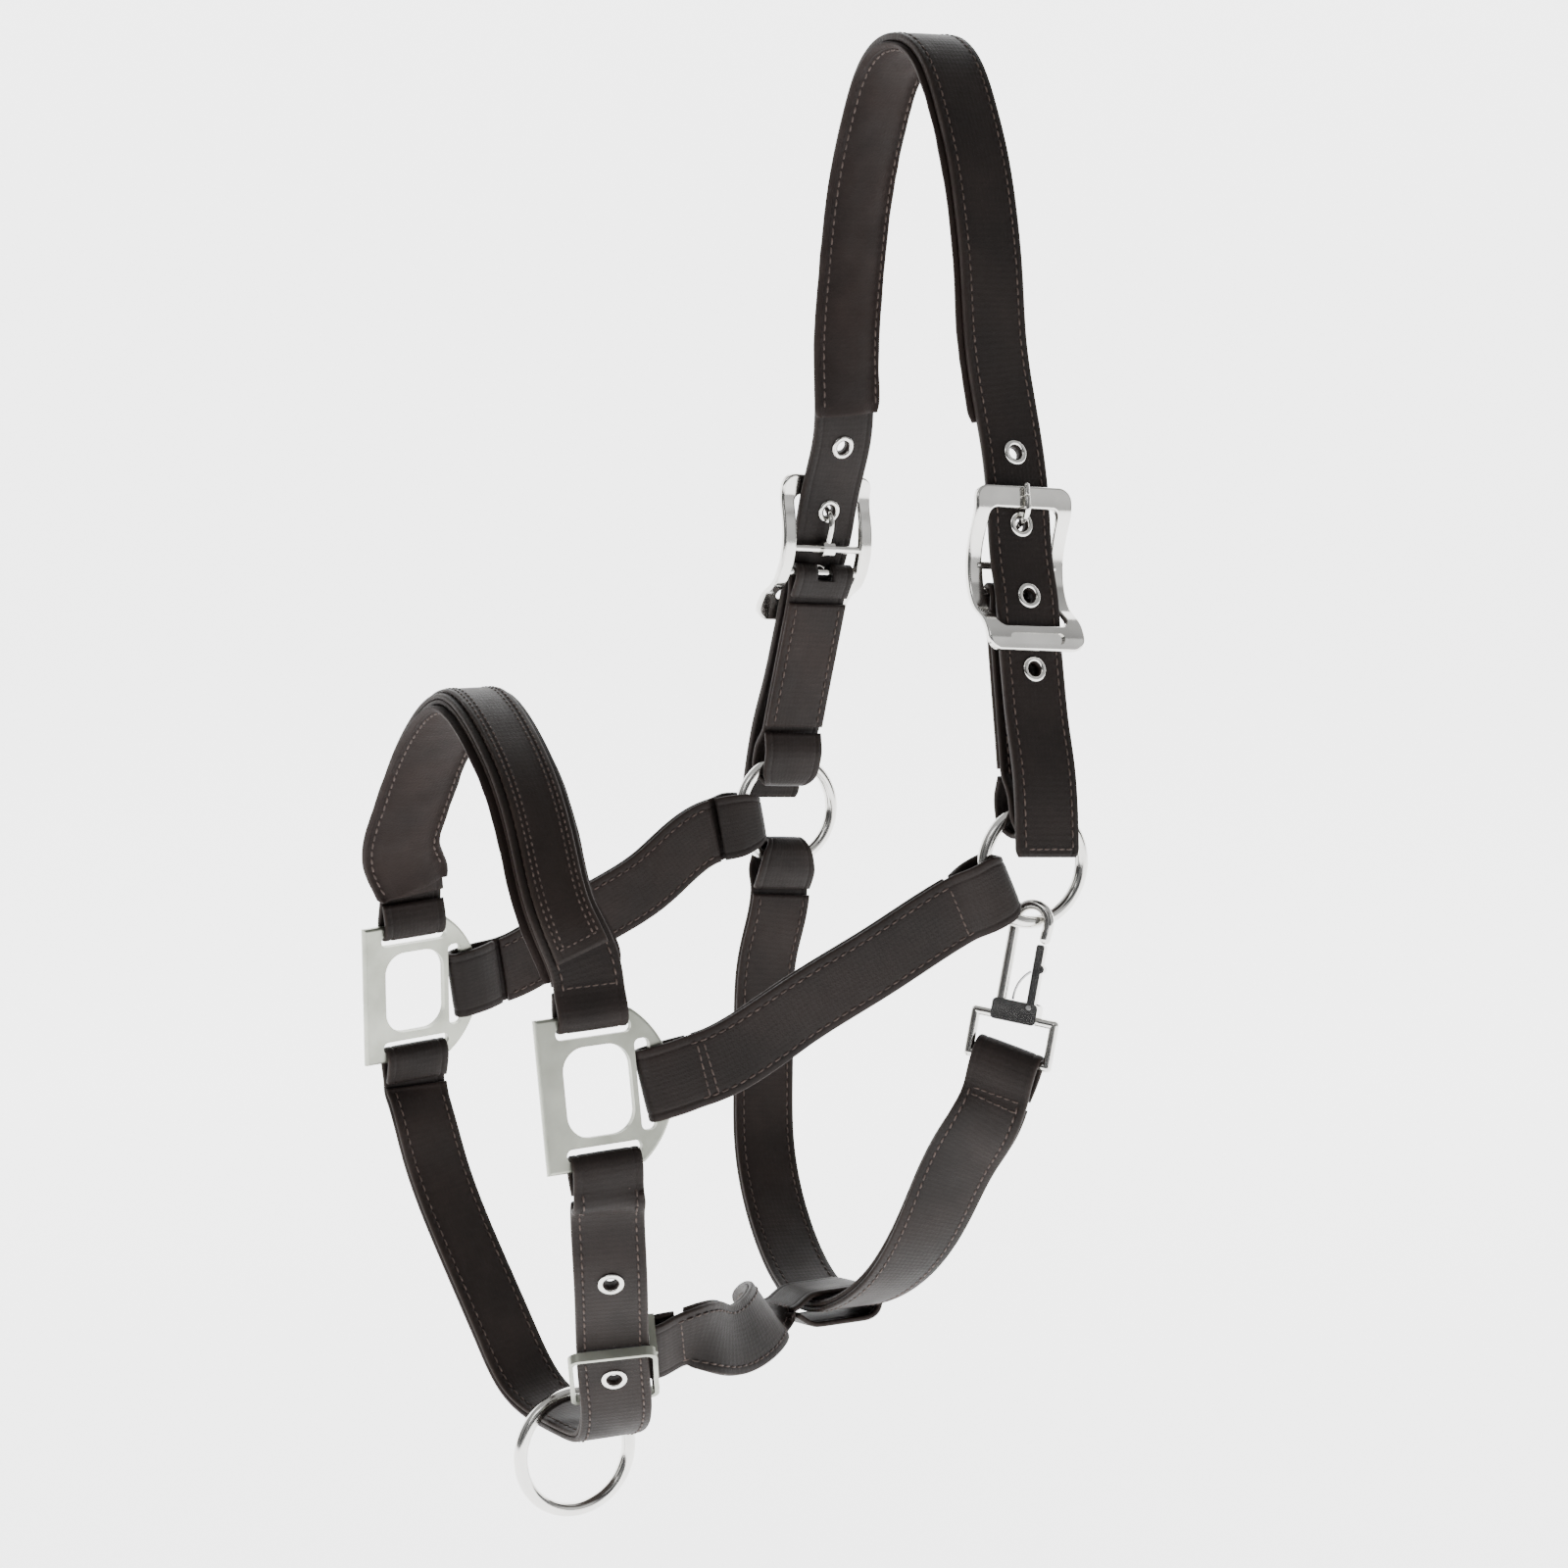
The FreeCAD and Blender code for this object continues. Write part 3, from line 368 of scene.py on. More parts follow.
class Nodes:
    """Short ways to build one material's node tree."""

    def __init__(self, name):
        self.material = bpy.data.materials.new(name)
        self.material.use_nodes = True
        self.tree = self.material.node_tree
        self.shader = self.tree.nodes["Principled BSDF"]

    def add(self, kind, **values):
        node = self.tree.nodes.new(kind)
        for key, value in values.items():
            if hasattr(node, key):
                setattr(node, key, value)
            else:
                node.inputs[key].default_value = value
        return node

    def link(self, out, into):
        self.tree.links.new(out, into)

    def noise(self, scale, detail=3.0, where=None):
        node = self.add("ShaderNodeTexNoise", Scale=scale, Detail=detail)
        self.link(where or self.object_place(), node.inputs["Vector"])
        return node.outputs["Fac"]

    def object_place(self):
        if not hasattr(self, "place"):
            self.place = self.add("ShaderNodeTexCoord")
        return self.place.outputs["Object"]

    def ramp(self, value, low, high, start=0.35, stop=0.65):
        node = self.add("ShaderNodeValToRGB")
        first, second = node.color_ramp.elements
        first.position, first.color = start, (*low, 1)
        second.position, second.color = stop, (*high, 1)
        self.link(value, node.inputs["Fac"])
        return node.outputs["Color"]

    def mix(self, factor, first, colour):
        """A linked colour turned towards a plain one. The colour sockets are A, B and Result."""
        node = self.add("ShaderNodeMix", data_type="RGBA")
        self.link(factor, node.inputs["Factor"])
        self.link(first, node.inputs[6])
        node.inputs[7].default_value = (*colour, 1)
        return node.outputs[2]

    def scale(self, value, factor, offset=0.0):
        node = self.add("ShaderNodeMath", operation="MULTIPLY_ADD")
        self.link(value, node.inputs[0])
        node.inputs[1].default_value = factor
        node.inputs[2].default_value = offset
        return node.outputs[0]

    def sum(self, first, second):
        node = self.add("ShaderNodeMath", operation="ADD")
        self.link(first, node.inputs[0])
        self.link(second, node.inputs[1])
        return node.outputs[0]

    def bump(self, height, strength, distance):
        node = self.add("ShaderNodeBump", Strength=strength, Distance=distance)
        self.link(height, node.inputs["Height"])
        self.link(node.outputs["Normal"], self.shader.inputs["Normal"])

    def socket(self, name, value):
        self.shader.inputs[name].default_value = value


def leather_material(name, dark, light, edge, rough, grain=1050.0, weave=0.35):
    """Matt dyed leather: fine grain, faint cross ribs, cloudy colour and rubbed edges."""
    n = Nodes(name)
    cloud = n.noise(38.0, 4.0)
    colour = n.ramp(cloud, dark, light)
    wear = n.add("ShaderNodeAttribute", attribute_name="wear")
    patchy = n.add("ShaderNodeMath", operation="MULTIPLY")
    n.link(wear.outputs["Fac"], patchy.inputs[0])
    n.link(n.noise(160.0, 3.0), patchy.inputs[1])
    n.link(n.mix(patchy.outputs[0], colour, edge), n.shader.inputs["Base Color"])
    cells = n.add("ShaderNodeTexVoronoi", feature="DISTANCE_TO_EDGE", Scale=grain)
    n.link(n.object_place(), cells.inputs["Vector"])
    pores = n.scale(cells.outputs["Distance"], 1.6)
    fine = n.scale(n.noise(grain * 2.6, 2.0), 0.45)
    surface = n.sum(pores, fine)
    uv = n.add("ShaderNodeTexCoord")
    for direction, pitch in (("X", 150.0), ("Y", 190.0)):
        ribs = n.add("ShaderNodeTexWave", bands_direction=direction, Scale=pitch, Distortion=0.6)
        n.link(uv.outputs["UV"], ribs.inputs["Vector"])
        surface = n.sum(surface, n.scale(ribs.outputs["Fac"], weave))
    n.bump(surface, 0.55, 0.00016)
    n.link(n.scale(n.noise(90.0, 3.0), 0.22, rough - 0.11), n.shader.inputs["Roughness"])
    n.socket("Specular IOR Level", 0.17)
    return n.material


def thread_material(name, dark, light):
    """Waxed thread with its twist showing."""
    n = Nodes(name)
    n.link(n.ramp(n.noise(700.0, 2.0), dark, light), n.shader.inputs["Base Color"])
    n.bump(n.noise(5200.0, 2.0), 0.6, 0.0001)
    n.socket("Roughness", 0.62)
    n.socket("Specular IOR Level", 0.3)
    return n.material


def metal_material(name, dark, light, rough, spread, bump):
    """Plated metal with cloudy polish and hair-fine scratches."""
    n = Nodes(name)
    n.socket("Metallic", 1.0)
    n.link(n.ramp(n.noise(55.0, 4.0), dark, light), n.shader.inputs["Base Color"])
    n.link(n.scale(n.noise(240.0, 5.0), spread, rough), n.shader.inputs["Roughness"])
    stretched = n.add("ShaderNodeMapping")
    stretched.inputs["Scale"].default_value = (1.0, 1.0, 0.06)
    n.link(n.object_place(), stretched.inputs["Vector"])
    scratches = n.noise(2600.0, 3.0, stretched.outputs["Vector"])
    n.bump(n.sum(n.scale(scratches, 0.6), n.noise(420.0, 2.0)), bump, 0.00006)
    return n.material


# Each leather: its dark and light tones, its rubbed edge, and its roughness.
STRAP = leather_material("strap_leather", (0.0066, 0.0045, 0.0037), (0.0112, 0.0073, 0.0061),
                         (0.0216, 0.0137, 0.0108), 0.56)
CROWN = leather_material("crown_leather", (0.0065, 0.0044, 0.0037), (0.0104, 0.0070, 0.0059),
                         (0.0202, 0.0130, 0.0104), 0.55)
LINING = leather_material("lining_leather", (0.0083, 0.0052, 0.0042), (0.0133, 0.0081, 0.0065),
                          (0.0216, 0.0137, 0.0108), 0.60)
PADDING = leather_material("pad_leather", (0.0070, 0.0038, 0.0030), (0.0115, 0.0062, 0.0048),
                           (0.0150, 0.0088, 0.0070), 0.68, grain=820.0, weave=0.15)
OVERLAY = leather_material("overlay_leather", (0.0097, 0.0063, 0.0050), (0.0166, 0.0109, 0.0088),
                           (0.0274, 0.0180, 0.0144), 0.52, weave=0.2)
THREAD = thread_material("waxed_thread", (0.032, 0.022, 0.018), (0.072, 0.051, 0.043))
BRIGHT = metal_material("bright_metal", (0.62, 0.61, 0.58), (0.74, 0.73, 0.70), 0.09, 0.12, 0.10)
CAST = metal_material("cast_metal", (0.27, 0.28, 0.24), (0.38, 0.39, 0.34), 0.26, 0.20, 0.35)
STEEL = metal_material("spring_steel", (0.42, 0.42, 0.43), (0.55, 0.55, 0.55), 0.22, 0.15, 0.2)


# ---------------------------------------------------------------- the layout

BUCKLE = vec(69.5, 0, -183.5)
BAR_DEPTH = -1.2
CHAPE_BAR = -8.0
CHAPE_SINK = -0.6
RING_SECTOR = 0.71       # half angle, in radians, that a loop takes up round a ring
TIGHT_SECTOR = 0.60      # the same, where two loops meet


def ring_centre(side):
    return NEAR_RING if side == "near" else FAR_RING


def hanger(side):
    """A cheek hanger: its origin is the top of the ring's wire, and a runs up the strap."""
    top = NEAR_RING + UP * RING_RADIUS
    rise = BUCKLE - top
    if side == "far":
        return Place(top * MIRROR, rise * MIRROR, vec(0, 1, 0))
    return Place(top, rise, vec(0, -1, 0))


HANGERS = {side: hanger(side) for side in ("near", "far")}
BUCKLE_RISE = float(np.linalg.norm(BUCKLE - NEAR_RING - UP * RING_RADIUS))

SQUARES = {
    "near": Place(vec(78.4, -168.5, -351.4), vec(0.08, 0.995, 0.06), vec(-0.10, -0.06, 0.99)),
    "far": Place(vec(-78.4, -168.5, -341.3), vec(-0.08, 0.995, 0.06), vec(-0.10, 0.06, -0.99)),
}
STRAP_BAR = 24.0
CHEEK_BAR = 23.0


def bar_place(side, up, turned=1.0):
    """Loop place at a square's top bar (up=1) or bottom bar (up=-1): a points at the window."""
    square = SQUARES[side]
    sense = up if side == "near" else -up
    return Place(square.at(0, sense * STRAP_BAR, 0), square.b * -sense, square.a * turned)


# ---------------------------------------------------------------- straps

def lined_strap(name, body, start, start_hole, end, end_hole, middle, across, sectors=(None, None), lining=None,
                rows=()):
    """A folded outer layer, its inner layer and its stitching.

    lining names the CAD node that the inner layer stands for, where it has one of its own.
    rows holds distances from the two turned-in ends at which rows are sewn across."""
    (line, wide, halves), (mid, mid_wide) = folded_strap(start, start_hole, end, end_hole, middle, across, sectors)
    outer = sweep(name + "_outer", line, wide, halves, LAYER)
    _, _, c = axes(mid, mid_wide)
    trim = max(2, int(1.6 / STEP))
    inner_line = (mid - c * (LAYER / 2 + 0.03))[trim:-trim]
    inner_half = np.full(len(inner_line), WIDTH / 2)
    inner = sweep(name + "_inner", inner_line, mid_wide[trim:-trim], inner_half, LAYER - 0.1)
    finish_piece(outer, STRAP, body, "strap_leather", name)
    if lining:
        finish_piece(inner, LINING, body, "lining_leather", lining)
    else:
        finish_piece(inner, LINING, body, "strap_leather")
    seam = Seam()
    seam.edges(mid, mid_wide, WIDTH / 2, LAYER + 0.02)
    seam.edges(mid, mid_wide, WIDTH / 2, -LAYER - 0.02, 3, -3)
    for end_index, distances in rows:
        for distance in distances:
            index = int(distance / STEP) if end_index == 0 else len(mid) - 1 - int(distance / STEP)
            seam.across(mid, mid_wide, index, LAYER + 0.05, WIDTH / 2)
    seam.piece(name + "_stitching", body, "strap_leather")
    return outer, inner, mid, mid_wide


def make_chapes():
    for side in ("near", "far"):
        h = HANGERS[side]
        low = Place(h.at(0, 0, CHAPE_SINK), -h.a, h.b)
        high = Place(h.at(BUCKLE_RISE + CHAPE_BAR, 0, BAR_DEPTH), h.a, h.b)
        middle = [(low.at(-30) + high.at(-30)) / 2]
        outer, _, _, _ = lined_strap(side + "_chape", "crown", low, CHAPE_RING_EYE, high, BAR_EYE, middle, [h.b],
                                     (RING_SECTOR, None), rows=((0, (1.5, 4.5)), (1, (1.5, 25))))
        slot_cut(outer, high)


def slot_cut(piece, place):
    """The slot in the fold that lets the buckle's tongue swing past the chape."""
    cut_box(piece, place, (-2.5, 9.5), (-3.5, 3.5), (-10, 10))


def cut_box(piece, place, a_range, b_range, c_range):
    corners = [place.at(a, b, c) * MM for a in a_range for b in b_range for c in c_range]
    faces = [(0, 1, 3, 2), (4, 6, 7, 5), (0, 4, 5, 1), (2, 3, 7, 6), (0, 2, 6, 4), (1, 5, 7, 3)]
    cut(piece, mesh_object("cutter", corners, faces))


def cut(piece, tool):
    """Takes the tool's shape out of a piece and removes the tool."""
    modifier = piece.modifiers.new("cut", "BOOLEAN")
    modifier.operation = "DIFFERENCE"
    modifier.solver = "EXACT"
    modifier.object = tool
    bpy.context.view_layer.update()
    shaped = piece.evaluated_get(bpy.context.evaluated_depsgraph_get())
    mesh = bpy.data.meshes.new_from_object(shaped)
    piece.modifiers.remove(modifier)
    piece.data = mesh
    bpy.data.objects.remove(tool)


# ---------------------------------------------------------------- eyelet holes

HOLE_RADIUS = 3.25       # through the leather
BORE = 2.7               # an eyelet's hole
RIM = 4.65               # an eyelet's outer edge


def islands(node):
    """The separate solids of a CAD node, as arrays of points in millimetres."""
    mesh = frame["nodes"][node].data
    points = np.array([v.co for v in mesh.vertices]) / MM
    keys = np.round(points, 2)
    _, label = np.unique(keys, axis=0, return_inverse=True)
    label = label.ravel()
    parent = list(range(label.max() + 1))

    def root(k):
        while parent[k] != k:
            parent[k] = parent[parent[k]]
            k = parent[k]
        return k

    for edge in mesh.edges:
        parent[root(label[edge.vertices[0]])] = root(label[edge.vertices[1]])
    roots = np.array([root(k) for k in label])
    return [points[roots == r] for r in np.unique(roots)]


def eyelet_axes(points):
    """An eyelet's centre, its axis and two directions across it."""
    centre = (points.min(0) + points.max(0)) / 2
    _, vectors = np.linalg.eigh(np.cov((points - centre).T))
    axis = vectors[:, 0]
    side = unit(np.cross(axis, vec(0.3, 0.8, 0.2)))
    return centre, axis, side, np.cross(axis, side)


def make_eyelets(node, body, grip):
    """Rolled rims on both faces, joined by a tube; the tube's wall is dark lining leather in place of metal, painted
    shade inside the hole.
    """
    rims, shaded_bores = ([], []), ([], [])
    for points in islands(node):
        centre, axis, side, other = eyelet_axes(points)
        reach = grip / 2
        profile = [(BORE, 0.0), (BORE, reach + 0.15), (BORE + 0.25, reach + 0.5), (BORE + 0.75, reach + 0.7),
                   (RIM - 0.75, reach + 0.66), (RIM - 0.25, reach + 0.4), (RIM, reach), (BORE + 0.5, reach - 0.05),
                   (BORE + 0.4, 0.0)]
        for face in (1, -1):
            ring_of(rims, profile, centre, axis * face, side, other)
        wall = [(BORE - 0.03, -reach - 0.1), (BORE - 0.03, reach + 0.1), (BORE - 0.25, reach + 0.1),
                (BORE - 0.25, -reach - 0.1)]
        ring_of(shaded_bores, wall, centre, axis, side, other)
    rim = mesh_object(node + "_rims", rims[0], rims[1])
    finish_piece(rim, BRIGHT, body, "bright_metal", node)
    # The bore tubes take the dark lining leather as painted shade: it stands for the shade inside the eyelet's metal
    # tube.
    shaded_bore = mesh_object(node + "_bores", shaded_bores[0], shaded_bores[1])
    finish_piece(shaded_bore, LINING, body, "lining_leather")


def ring_of(mesh, profile, centre, axis, side, other):
    """Turns a closed profile of radius and height round an axis, and adds it to a mesh's lists."""
    verts, faces = mesh
    base, size, around = len(verts), len(profile), 48
    for k in range(around):
        turn = 2 * math.pi * k / around
        spoke = side * math.cos(turn) + other * math.sin(turn)
        for radius, height in profile:
            verts.append((centre + spoke * radius + axis * height) * MM)
    for k in range(around):
        after = (k + 1) % around
        for j in range(size):
            m = (j + 1) % size
            faces.append((base + k * size + j, base + after * size + j, base + after * size + m, base + k * size + m))


def eyelet_holes(piece, node):
    """Cuts a hole through the leather under each eyelet."""
    for points in islands(node):
        centre, axis, side, other = eyelet_axes(points)
        verts, count = [], 40
        for lift in (-6, 6):
            for k in range(count):
                turn = 2 * math.pi * k / count
                spoke = side * math.cos(turn) + other * math.sin(turn)
                verts.append((centre + spoke * HOLE_RADIUS + axis * lift) * MM)
        faces = [(k, (k + 1) % count, count + (k + 1) % count, count + k) for k in range(count)]
        faces += [tuple(reversed(range(count))), tuple(range(count, 2 * count))]
        cut(piece, mesh_object("drill", verts, faces))


# ---------------------------------------------------------------- crownpiece

CROWN_HALF = [(0, 5.5), (11, 3.6), (21.5, -3.2), (32.6, -19.5), (41.2, -38), (47.2, -58), (51.2, -79), (54.8, -106)]
HANGER_RUN = [(128, 2.2), (107, 3.6), (84, 3.8), (76, 5.0), (60, 5.2), (44, 5.6), (28, 6.6), (14, 8.4), (0, 8.6),
              (-18.5, 7.0)]
PAD_END = -131.0
CROWN_PAD_HALF = 14.0
CROWN_PAD = 4.0


def crown_line():
    near, far = HANGERS["near"], HANGERS["far"]
    near_run = [near.at(a, 0, c) for a, c in reversed(HANGER_RUN)]
    far_run = [far.at(a, 0, c) for a, c in HANGER_RUN]
    near_arch = [vec(x, 0, z) for x, z in reversed(CROWN_HALF)]
    far_arch = [vec(-x, 0, z) for x, z in CROWN_HALF[1:]]
    across = [near.b] * len(near_run) + [vec(0, -1, 0)] * (len(near_arch) + len(far_arch))
    across += [far.b * -1.0] * len(far_run)
    return spline(near_run + near_arch + far_arch + far_run, across)


def make_crown():
    line, wide = crown_line()
    halves = np.full(len(line), WIDTH / 2)
    for k, share in enumerate((0.90, 0.97)):
        halves[k] *= share
        halves[-1 - k] *= share
    strap = sweep("crown_strap_leather", line, wide, halves, CROWN_LAYER)
    eyelet_holes(strap, "crown_eyelets")
    finish_piece(strap, CROWN, "crown", "strap_leather", "crown_strap")
    seam = Seam()
    top = CROWN_LAYER / 2 + 0.02
    seam.edges(line, wide, WIDTH / 2, top, 2, -2)
    for index in (2, len(line) - 3):
        seam.across(line, wide, index, top, WIDTH / 2)
    seam.piece("crown_strap_stitching", "crown", "strap_leather")
    make_pad("crown_pad", "crown", line, wide, line[:, 2] > PAD_END, CROWN_PAD_HALF, CROWN_PAD, CROWN_LAYER)


def make_pad(name, body, line, wide, chosen, half, thick, under):
    """A soft pad sewn to the inner face of a strap, a little narrower towards its ends."""
    chosen = np.flatnonzero(chosen)
    first, last = chosen[0], chosen[-1] + 1
    _, _, c = axes(line, wide)
    sunk = line - c * (under + thick) / 2
    part, part_wide = sunk[first:last], wide[first:last]
    count = len(part)
    ends = np.clip(np.minimum(np.arange(count), count - 1 - np.arange(count)) / 3.0, 0, 1)
    halves = half * (0.93 + 0.07 * np.sin(ends * math.pi / 2))
    pad = sweep(name + "_cushion", part, part_wide, halves, thick, top=backing_face, bottom=padded_face)
    soften(pad)
    finish_piece(pad, PADDING, body, "padding", name)
    seam = Seam()
    _, _, c_part = axes(part, part_wide)
    sewn = part - c_part * (thick * 0.02)
    seam.edges(sewn, part_wide, half, -0.30 * thick, 2, -2)
    seam.piece(name + "_stitching", body, "padding")


def backing_face(across, half, thick):
    """The side of a pad that lies against its strap."""
    d = half - np.abs(across)
    return thick / 2 * (0.72 + 0.26 * np.clip(d / 1.2, 0, 1))


def soften(piece):
    """Shallow rises and hollows along a pad, as foam under thin leather has."""
    texture = bpy.data.textures.new(piece.name + "_foam", "CLOUDS")
    texture.noise_scale = 0.011
    texture.noise_depth = 1
    lumps = piece.modifiers.new("foam", "DISPLACE")
    lumps.texture = texture
    lumps.texture_coords = "LOCAL"
    lumps.strength = 0.0006
    lumps.mid_level = 0.55
    bpy.context.view_layer.update()
    shaped = piece.evaluated_get(bpy.context.evaluated_depsgraph_get())
    mesh = bpy.data.meshes.new_from_object(shaped)
    piece.modifiers.remove(lumps)
    piece.data = mesh


# ---------------------------------------------------------------- noseband

NOSE_NEAR = [vec(71, -177.5, -293), vec(60, -178.5, -273), vec(45.5, -178, -253), vec(27.5, -178, -237.5),
             vec(11, -178, -228.5)]
NOSE_TOP = vec(0, -178, -226.2)
NOSE_FAR = [vec(-11, -178, -228.5), vec(-27, -178, -237.5), vec(-44, -178, -252.5), vec(-58, -178.5, -270.5),
            vec(-69, -177.5, -288)]
NOSE_PAD_HALF = 15.0
NOSE_PAD = 3.6
OVERLAY_HALF = 10.0
OVERLAY_LAYER = 1.4
OVERLAY_INSET = 2.2


def make_noseband():
    start = bar_place("near", 1, -1.0)
    end = bar_place("far", 1, -1.0)
    middle = NOSE_NEAR + [NOSE_TOP] + NOSE_FAR
    across = [vec(0, -1, 0)] * len(middle)
    _, _, mid, wide = lined_strap("nose_strap", "harness", start, STRAP_BAR_EYE, end, STRAP_BAR_EYE, middle, across,
                                  rows=((0, (1.5,)), (1, (1.5,))))
    gap_a = np.linalg.norm(mid - start.origin, axis=1)
    gap_b = np.linalg.norm(mid - end.origin, axis=1)
    near_end = np.minimum(gap_a, gap_b)
    make_pad("nose_pad", "harness", mid, wide, near_end > 15, NOSE_PAD_HALF, NOSE_PAD, 2 * LAYER)
    make_overlay(mid, wide, near_end > 22)


def make_overlay(mid, wide, chosen):
    """The plain band sewn on the front of the noseband."""
    chosen = np.flatnonzero(chosen)
    first, last = chosen[0], chosen[-1] + 1
    _, _, c = axes(mid, wide)
    lifted = mid + c * (LAYER + OVERLAY_LAYER / 2)
    part, part_wide = lifted[first:last], wide[first:last]
    halves = np.full(len(part), OVERLAY_HALF)
    band = sweep("nose_overlay_leather", part, part_wide, halves, OVERLAY_LAYER)
    finish_piece(band, OVERLAY, "harness", "overlay_leather", "nose_overlay")
    seam = Seam(length=1.7, radius=0.38)
    _, b, c_part = axes(part, part_wide)
    height = OVERLAY_LAYER / 2 + 0.05
    for side in (-1, 1):
        for inset in (OVERLAY_INSET, OVERLAY_INSET + 1.9):
            row = part + b * side * (OVERLAY_HALF - inset) + c_part * height
            seam.line(row[3:-3], c_part[3:-3], 2.6)
    for index in (3, len(part) - 4):
        ends = np.array([-OVERLAY_HALF + OVERLAY_INSET, OVERLAY_HALF - OVERLAY_INSET])
        row = part[index] + b[index] * ends[:, None] + c_part[index] * height
        seam.line(row, np.array([c_part[index]] * 2), 2.6)
    seam.piece("nose_overlay_stitching", "harness", "overlay_leather")


# ---------------------------------------------------------------- cheekpieces

CHEEK_TURN = {"near": 0.0, "far": -0.18}
CHEEK_SECTOR = {"near": RING_SECTOR, "far": TIGHT_SECTOR}


def make_cheeks():
    for side, sense in (("near", 1), ("far", -1)):
        square = SQUARES[side]
        at_square = square.at(CHEEK_BAR)
        centre = ring_centre(side)
        away = centre - at_square
        angle = math.atan2(away[2], away[1]) + CHEEK_TURN[side]
        flat = vec(0, math.cos(angle), math.sin(angle))
        at_ring = centre - flat * RING_RADIUS
        run = unit(at_ring - at_square)
        start = Place(at_square, -(run * 0.4 + square.a * 0.6), square.b)
        tangent = vec(0, -flat[2], flat[1])
        end = Place(at_ring, vec(run[0], flat[1], flat[2]), tangent * sense)
        first = start.at(-18)
        middle = [first + (at_ring - first) * part for part in (0.3, 0.6)]
        lined_strap(side + "_cheek_strap", "harness", start, FLANGE_EYE, end, RING_EYE, middle, [tangent * sense] * 2,
                    (None, CHEEK_SECTOR[side]), side + "_cheek_lining", rows=((0, (3, 6.5)), (1, (3,))))


# ---------------------------------------------------------------- chin strap, throat strap and connector

CHIN_NEAR = [vec(78.5, -165, -391), vec(70, -160.5, -411), vec(57, -153.5, -436), vec(44, -146.5, -460)]
CHIN_BEND = [vec(31.5, -140, -480), vec(21, -138, -487.5), vec(5, -138, -489.5), vec(-14, -138, -490)]
CHIN_FAR = [vec(-33, -142, -484), vec(-45, -148, -465), vec(-60, -156, -435), vec(-72.5, -163, -405),
            vec(-79.5, -166.5, -383)]
CHIN_ACROSS = vec(0.36, 0.93, 0)
THROAT_FAR = [vec(-92, -12.5, -342), vec(-91, -15, -380), vec(-83, -19, -415), vec(-62, -23, -443)]
THROAT_LOW = [vec(-28, -27, -461), vec(0, -29, -459)]
THROAT_NEAR = [vec(31, -27, -443), vec(56, -25, -416), vec(75, -23, -388)]
THROAT_TURN = 0.08       # the far loop sits this many radians forward of the ring's lowest point
SNAP = Place(NEAR_RING - UP * RING_RADIUS, vec(0, 0.2, 0.98), vec(0.8, 0.6, 0))
SNAP_STRAP_BAR = -48.9   # the snap's strap bar, along its axis from the ring's wire
SNAP_SKEW = 0.14         # the strap pulls this far askew, in radians, on the snap's bar
SLIDE_POST = vec(42.7, -130.74, -452.74)             # middle of the slide's rear bar
SLIDE_BAR = unit(vec(0.42793, -0.27021, 0.86248))    # its direction
SLIDE_LEAVING = vec(-0.03973, -0.91244, -0.08753)    # where the connector's fold points, roughly
CONNECTOR_MIDDLE = [vec(36, -97, -456), vec(12, -69, -455)]
CONNECTOR_ACROSS = [vec(-0.17, -0.11, 0.98), vec(-0.38, -0.42, 0.82)]
THROAT_LOWEST = vec(-12, -28, -461)                  # the connector's loop is sewn round the strap here


def make_chin():
    start = bar_place("near", -1)
    end = bar_place("far", -1)
    across = [CHIN_ACROSS] * len(CHIN_NEAR) + [vec(0.25, 0.97, 0)] + [vec(0, 1, 0)] * 3
    across += [vec(-0.1, 1, 0)] + [vec(-0.15, 0.99, 0)] * 4
    outer, inner, _, _ = lined_strap("chin_strap", "harness", start, STRAP_BAR_EYE, end, STRAP_BAR_EYE,
                                     CHIN_NEAR + CHIN_BEND + CHIN_FAR, across, lining="chin_lining",
                                     rows=((0, (1.2,)), (1, (1.2,))))
    eyelet_holes(outer, "chin_eyelets")
    eyelet_holes(inner, "chin_eyelets")


def make_throat():
    inward = vec(0, math.sin(THROAT_TURN), math.cos(THROAT_TURN))
    start = Place(FAR_RING - inward * RING_RADIUS, inward, vec(0, -1, 0))
    end = Place(SNAP.at(SNAP_STRAP_BAR), SNAP.a + SNAP.b * math.tan(SNAP_SKEW), SNAP.b * -1.0)
    across = [vec(0, -1, 0)] * (len(THROAT_FAR) + len(THROAT_LOW))
    across += [vec(-0.15, -1, 0), vec(-0.4, -0.9, 0), vec(-0.7, -0.72, 0)]
    _, _, mid, wide = lined_strap("throat_strap", "harness", start, RING_EYE, end, SNAP_EYE,
                                  THROAT_FAR + THROAT_LOW + THROAT_NEAR, across, (TIGHT_SECTOR, None),
                                  "throat_lining", rows=((0, (2, 5)), (1, (2, 5))))
    return mid, wide


def make_connector(throat, throat_wide):
    tangent, _, _ = axes(throat, throat_wide)
    low = int(np.argmin(np.linalg.norm(throat - THROAT_LOWEST, axis=1)))
    post = Place(SLIDE_POST, SLIDE_LEAVING - SLIDE_BAR * np.dot(SLIDE_LEAVING, SLIDE_BAR), SLIDE_BAR)
    end = Place(throat[low], vec(0, 1, 0), -tangent[low])
    lined_strap("connector_strap", "harness", post, POST_EYE, end, JAW_EYE, CONNECTOR_MIDDLE, CONNECTOR_ACROSS,
                lining="connector_lining", rows=((0, (1.5,)), (1, (2, 5))))


# ---------------------------------------------------------------- metal

RING_WIRE = 2.3
LEAD_WIRE = 2.5
EYELET_PLAY = 0.3        # an eyelet's grip, over the leather that it holds

METAL_NODES = {
    BRIGHT: ("near_buckle_frame", "far_buckle_frame", "near_buckle_tongue", "far_buckle_tongue", "snap_body",
             "snap_gate"),
    CAST: ("near_square", "far_square", "chin_slide"),
    STEEL: ("snap_gate_pin", "snap_spring"),
}


